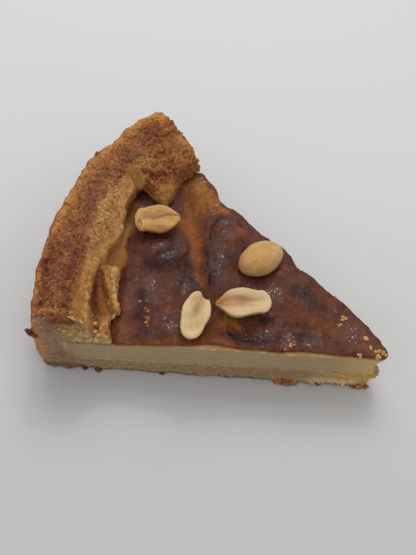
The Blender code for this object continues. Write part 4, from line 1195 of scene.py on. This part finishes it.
# crumbs that stuck to the slice
crumbs = {
    "seed": 11,
    "clump": 4,
    "lowest": 0.015,
    "rounds": 3,
    # on the skin: x, y, size, tone
    "onSkin": (
        (-0.0725, 0.0098, 0.0010, 0.30), (-0.0722, 0.0070, 0.0011, 0.24), (-0.0719, 0.0058, 0.0008, 0.34),
        (-0.0748, 0.0128, 0.0007, 0.30), (-0.0655, 0.0098, 0.0007, 0.36), (-0.0767, 0.0195, 0.0007, 0.40),
        (-0.0158, 0.0119, 0.0011, -0.10), (-0.0172, 0.0098, 0.0007, 0.05), (-0.0102, 0.0058, 0.0011, -0.15),
        (-0.0088, 0.0030, 0.0007, 0.05), (-0.0066, 0.0022, 0.0010, 0.08), (-0.0066, 0.0005, 0.0010, -0.20),
        (-0.0310, 0.0022, 0.0009, -0.05), (-0.0330, 0.0008, 0.0006, 0.10), (-0.0120, 0.0004, 0.0007, -0.15),
        (-0.0047, 0.0014, 0.0011, 0.12),
    ),
    # along the foot of the near cut: x, width, height, tone
    "atFoot": (
        (-0.0905, 0.0016, 0.0012, 0.70), (-0.0865, 0.0022, 0.0015, 0.60), (-0.0675, 0.0014, 0.0010, 0.66),
        (-0.0325, 0.0028, 0.0020, 0.26), (-0.0300, 0.0034, 0.0022, 0.32), (-0.0280, 0.0026, 0.0018, 0.22),
        (-0.0205, 0.0016, 0.0012, 0.44), (-0.0080, 0.0022, 0.0016, 0.24), (-0.0100, 0.0018, 0.0012, 0.36),
        (-0.0060, 0.0016, 0.0014, 0.30),
    ),
    # on the outer edge of the wall: degrees, how far out, height above the table, size, tone
    "onEdge": (
        (-7.40, -0.0003, 0.0212, 0.0024, 0.55), (-7.45, 0.0005, 0.0222, 0.0018, 0.66),
        (-7.35, 0.0011, 0.0231, 0.0012, 0.62), (-7.20, -0.0008, 0.0196, 0.0018, 0.50),
        (-7.50, 0.0006, 0.0206, 0.0009, 0.05), (-7.30, -0.0004, 0.0240, 0.0011, 0.40),
        (32.3, -0.0010, 0.0284, 0.0018, 0.40), (31.8, -0.0012, 0.0278, 0.0014, 0.55),
        (32.9, -0.0011, 0.0282, 0.0012, 0.35),
    ),
    # pale flakes on the broken lip: x, y, z, length, width, turn about Z, tone
    "onLip": (
        (-0.0925, 0.0012, 0.0304, 0.0030, 0.0007, -20, -0.20),
        (-0.0900, 0.0010, 0.0288, 0.0016, 0.0006, -30, -0.15),
        (-0.0865, 0.0026, 0.0255, 0.0012, 0.0009, 0, -0.20),
        (-0.0948, 0.0000, 0.0252, 0.0015, 0.0010, 20, -0.10),
        (-0.0932, -0.0002, 0.0240, 0.0018, 0.0012, -40, -0.20),
        (-0.0915, -0.0001, 0.0216, 0.0016, 0.0012, 60, -0.18),
        (-0.0882, -0.0002, 0.0207, 0.0022, 0.0014, 20, -0.22),
        (-0.0862, -0.0002, 0.0205, 0.0016, 0.0012, 0, -0.18),
        (-0.0902, 0.0000, 0.0248, 0.0015, 0.0010, 45, -0.20),
    ),
    # torn pastry along the flap: x, y, length, width, turn about Z, tone
    "onFlap": (
        (-0.0817, 0.0078, 0.0026, 0.0009, 75, -0.05), (-0.0816, 0.0100, 0.0022, 0.0008, 95, 0.05),
        (-0.0819, 0.0122, 0.0026, 0.0009, 100, -0.10), (-0.0824, 0.0146, 0.0024, 0.0008, 105, 0.00),
        (-0.0829, 0.0168, 0.0026, 0.0008, 100, 0.10), (-0.0836, 0.0190, 0.0024, 0.0008, 108, 0.05),
        (-0.0843, 0.0212, 0.0022, 0.0007, 112, 0.15), (-0.0835, 0.0110, 0.0020, 0.0007, 95, 0.10),
        (-0.0842, 0.0150, 0.0018, 0.0006, 100, 0.15), (-0.0812, 0.0066, 0.0016, 0.0008, 60, -0.10),
        (-0.0856, 0.0012, 0.0024, 0.0011, 20, -0.05), (-0.0838, 0.0010, 0.0020, 0.0010, -10, 0.10),
        (-0.0868, 0.0020, 0.0018, 0.0012, 50, -0.10), (-0.0812, 0.0012, 0.0018, 0.0009, 0, 0.00),
        (-0.0852, 0.0034, 0.0022, 0.0010, 80, 0.12), (-0.0815, 0.0034, 0.0024, 0.0008, 85, -0.05),
        (-0.0835, 0.0024, 0.0014, 0.0010, 30, 0.30), (-0.0822, 0.0048, 0.0020, 0.0008, 95, 0.05),
    ),
}


def addCrumb(bm, place, size, seed, tone, heading=0.0):
    made = bmesh.ops.create_icosphere(bm, subdivisions=crumbs["rounds"], radius=1.0)["verts"]
    layer = bm.verts.layers.float["tone"]
    for vert in made:
        vert[layer] = tone
        shift = noise.noise(vert.co * 1.6 + Vector((seed, 0.0, 0.0)))
        shift += 0.5 * noise.noise(vert.co * 4.2 + Vector((0.0, seed, 0.0)))
        vert.co *= 1.0 + 0.55 * shift
    turn = Matrix.Rotation(seed * 2.4, 4, "Z") @ Matrix.Rotation(seed * 1.3, 4, "X")
    bmesh.ops.transform(bm, verts=made, matrix=turn)
    bmesh.ops.scale(bm, verts=made, vec=Vector(size) / 2)
    bmesh.ops.transform(bm, verts=made, matrix=Matrix.Rotation(math.radians(heading), 4, "Z"))
    bmesh.ops.translate(bm, verts=made, vec=place)


def crumbPiece(name, build):
    bm = bmesh.new()
    bm.verts.layers.float.new("tone")
    build(bm)
    obj = newPiece(name, bm)
    obj.data.shade_smooth()
    tones = np.empty(len(obj.data.vertices), np.float32)
    obj.data.attributes["tone"].data.foreach_get("value", tones)
    setMask(obj, "rough", 0.3 + 0.5 * ramp(0.0, 0.3, tones))
    setMask(obj, "pale", ramp(0.4, 0.1, tones))
    setMask(obj, "floury", ramp(0.05, -0.15, tones))
    obj.data.materials.append(bpy.data.materials["baked pastry"])
    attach(obj, "root")
    print(name, "done")


def dressCrumbs(pastryPiece, custardPiece):
    skinTree, pastryTree = treeOf(custardPiece), treeOf(pastryPiece)
    draw = random.Random(crumbs["seed"])

    def onSkin(bm):
        for x, y, size, tone in crumbs["onSkin"]:
            for _ in range(crumbs["clump"]):
                px = cutsMeet.x + x + draw.uniform(-0.6, 0.6) * size
                py = cutsMeet.y + y + draw.uniform(-0.6, 0.6) * size
                top = heightUnder(skinTree, px, py)
                if top < crumbs["lowest"]:
                    continue
                width = size * draw.uniform(0.7, 1.2)
                seed = draw.uniform(0.0, 9.0)
                crumbSize = (width, width * 0.8, width * 0.6)
                addCrumb(bm, (px, py, top + size * 0.10), crumbSize, seed, tone + draw.uniform(-0.1, 0.1))

    def atFoot(bm):
        for x, width, height, tone in crumbs["atFoot"]:
            place = (cutsMeet.x + x, cutsMeet.y - width * 0.06, height * 0.5)
            addCrumb(bm, place, (width, width * 0.8, height), draw.uniform(0.0, 9.0), tone)
        for vert in bm.verts:
            vert.co.z = max(vert.co.z, 0.0)

    def onEdge(bm):
        for degrees, out, z, size, tone in crumbs["onEdge"]:
            t, reach = math.radians(degrees), tart["radius"] + outerEdge(degrees) + out
            px = cutsMeet.x + tart["centre"][0] - math.cos(t) * reach
            py = cutsMeet.y + max(tart["centre"][1] + math.sin(t) * reach, -0.0002)
            addCrumb(bm, (px, py, z), (size, size * 0.8, size), draw.uniform(0.0, 9.0), tone)
        for x, y, z, length, width, turn, tone in crumbs["onLip"]:
            place = (cutsMeet.x + x, cutsMeet.y + y, z)
            addCrumb(bm, place, (length, width, width), draw.uniform(0.0, 9.0), tone, turn)
        for x, y, length, width, turn, tone in crumbs["onFlap"]:
            px, py = cutsMeet.x + x, cutsMeet.y + y
            place = (px, py, heightUnder(pastryTree, px, py))
            addCrumb(bm, place, (length, width, width), draw.uniform(0.0, 9.0), tone, turn)

    crumbPiece("crumbs_on_skin", onSkin)
    crumbPiece("crumbs_at_foot", atFoot)
    crumbPiece("crumbs_on_edge", onEdge)


# light, floor and camera
studio = {
    "sky": 0.66,
    "skyColour": (0.97, 0.985, 1.0),
    "keySize": 0.34,
    "keyPower": 1.15,
    "keyFrom": (-6.0, 62.0, 0.58),      # azimuth from +Y, elevation, distance
    "glintSize": 0.08,
    "glintPower": 0.9,
    "glintFrom": (4.0, 60.0, 1.1),
    # the floor is painted darker towards the camera: painted shade
    "shadedFloorNear": (0.570, 0.570, 0.566),
    "floorFar": (0.655, 0.658, 0.656),
    "floorFrom": -0.10,
    "floorTo": 0.06,
    "floorSize": 1.5,
    "floorCloud": 0.05,
}
shot = {
    "target": (-0.05524, 0.0343),
    "elevation": 60.11,
    "azimuth": -2.72,
    "roll": 6.31,
    "distance": 0.28768,
    "focalPixels": 900.0,
    "longSide": 555.0,
    "sensor": 36.0,
    "clip": (0.01, 10.0),
}


def addLight(name):
    azimuth, elevation, distance = studio[name + "From"]
    azimuth, elevation = math.radians(azimuth), math.radians(elevation)
    data = bpy.data.lights.new(name, "AREA")
    data.size = studio[name + "Size"]
    data.energy = studio[name + "Power"]
    lamp = bpy.data.objects.new(name, data)
    flat = math.cos(elevation) * distance
    lamp.location = (math.sin(azimuth) * flat, math.cos(azimuth) * flat, math.sin(elevation) * distance)
    lamp.rotation_euler = (-lamp.location).to_track_quat("-Z", "Y").to_euler()
    lamp.visible_glossy = name == "glint"
    bpy.context.scene.collection.objects.link(lamp)


def floorMaterial():
    material, tree, shader = newMaterial("pale table")
    far = put(tree, "SeparateXYZ", {"Vector": objectPlace(tree)}).outputs["Y"]
    cloud = calc(tree, "SUBTRACT", noiseAt(tree, objectPlace(tree), 0.06, 2.0), 0.5)
    cloud = calc(tree, "MULTIPLY", cloud, studio["floorCloud"])
    # painted shade: the floor darkens towards the camera
    shade = between(tree, calc(tree, "ADD", far, cloud), studio["floorFrom"], studio["floorTo"])
    tone = colourRamp(tree, shade, ((0.0, studio["shadedFloorNear"]), (1.0, studio["floorFar"])))
    tree.links.new(tone, shader.inputs["Base Color"])
    shader.inputs["Roughness"].default_value = 0.6
    shader.inputs["Specular IOR Level"].default_value = 0.2
    return material


def setStudio():
    world = bpy.data.worlds.new("soft sky")
    world.use_nodes = True
    sky = world.node_tree.nodes["Background"]
    sky.inputs["Color"].default_value = (*studio["skyColour"], 1.0)
    sky.inputs["Strength"].default_value = studio["sky"]
    bpy.context.scene.world = world
    addLight("key")
    addLight("glint")
    bm = bmesh.new()
    bmesh.ops.create_grid(bm, x_segments=8, y_segments=8, size=studio["floorSize"])
    floor = newPiece("floor", bm)
    floor.data.materials.append(floorMaterial())


def setCamera():
    elevation, azimuth, roll = (math.radians(shot[key]) for key in ("elevation", "azimuth", "roll"))
    right = Vector((math.cos(azimuth), math.sin(azimuth), 0.0))
    back = Matrix.Rotation(azimuth, 3, "Z") @ Vector((0.0, -math.cos(elevation), math.sin(elevation)))
    turned = Matrix((right, back.cross(right), back)).transposed().to_4x4() @ Matrix.Rotation(roll, 4, "Z")
    target = Vector((cutsMeet.x + shot["target"][0], cutsMeet.y + shot["target"][1], 0.0))
    data = bpy.data.cameras.new("camera")
    data.sensor_width = shot["sensor"]
    data.lens = shot["focalPixels"] * shot["sensor"] / shot["longSide"]
    data.clip_start, data.clip_end = shot["clip"]
    camera = bpy.data.objects.new("camera", data)
    bpy.context.scene.collection.objects.link(camera)
    camera.matrix_world = Matrix.Translation(target + back * shot["distance"]) @ turned
    bpy.context.scene.camera = camera


setCamera()
setStudio()
bpy.context.scene.view_settings.view_transform = "Standard"
print("camera, light and floor done")
pastryPiece = dressPastry()
custardPiece = dressCustard()
for node in peanuts["halves"]:
    dressPeanut(node)
print("peanut halves done")
dressCrumbs(pastryPiece, custardPiece)

bpy.context.view_layer.update()
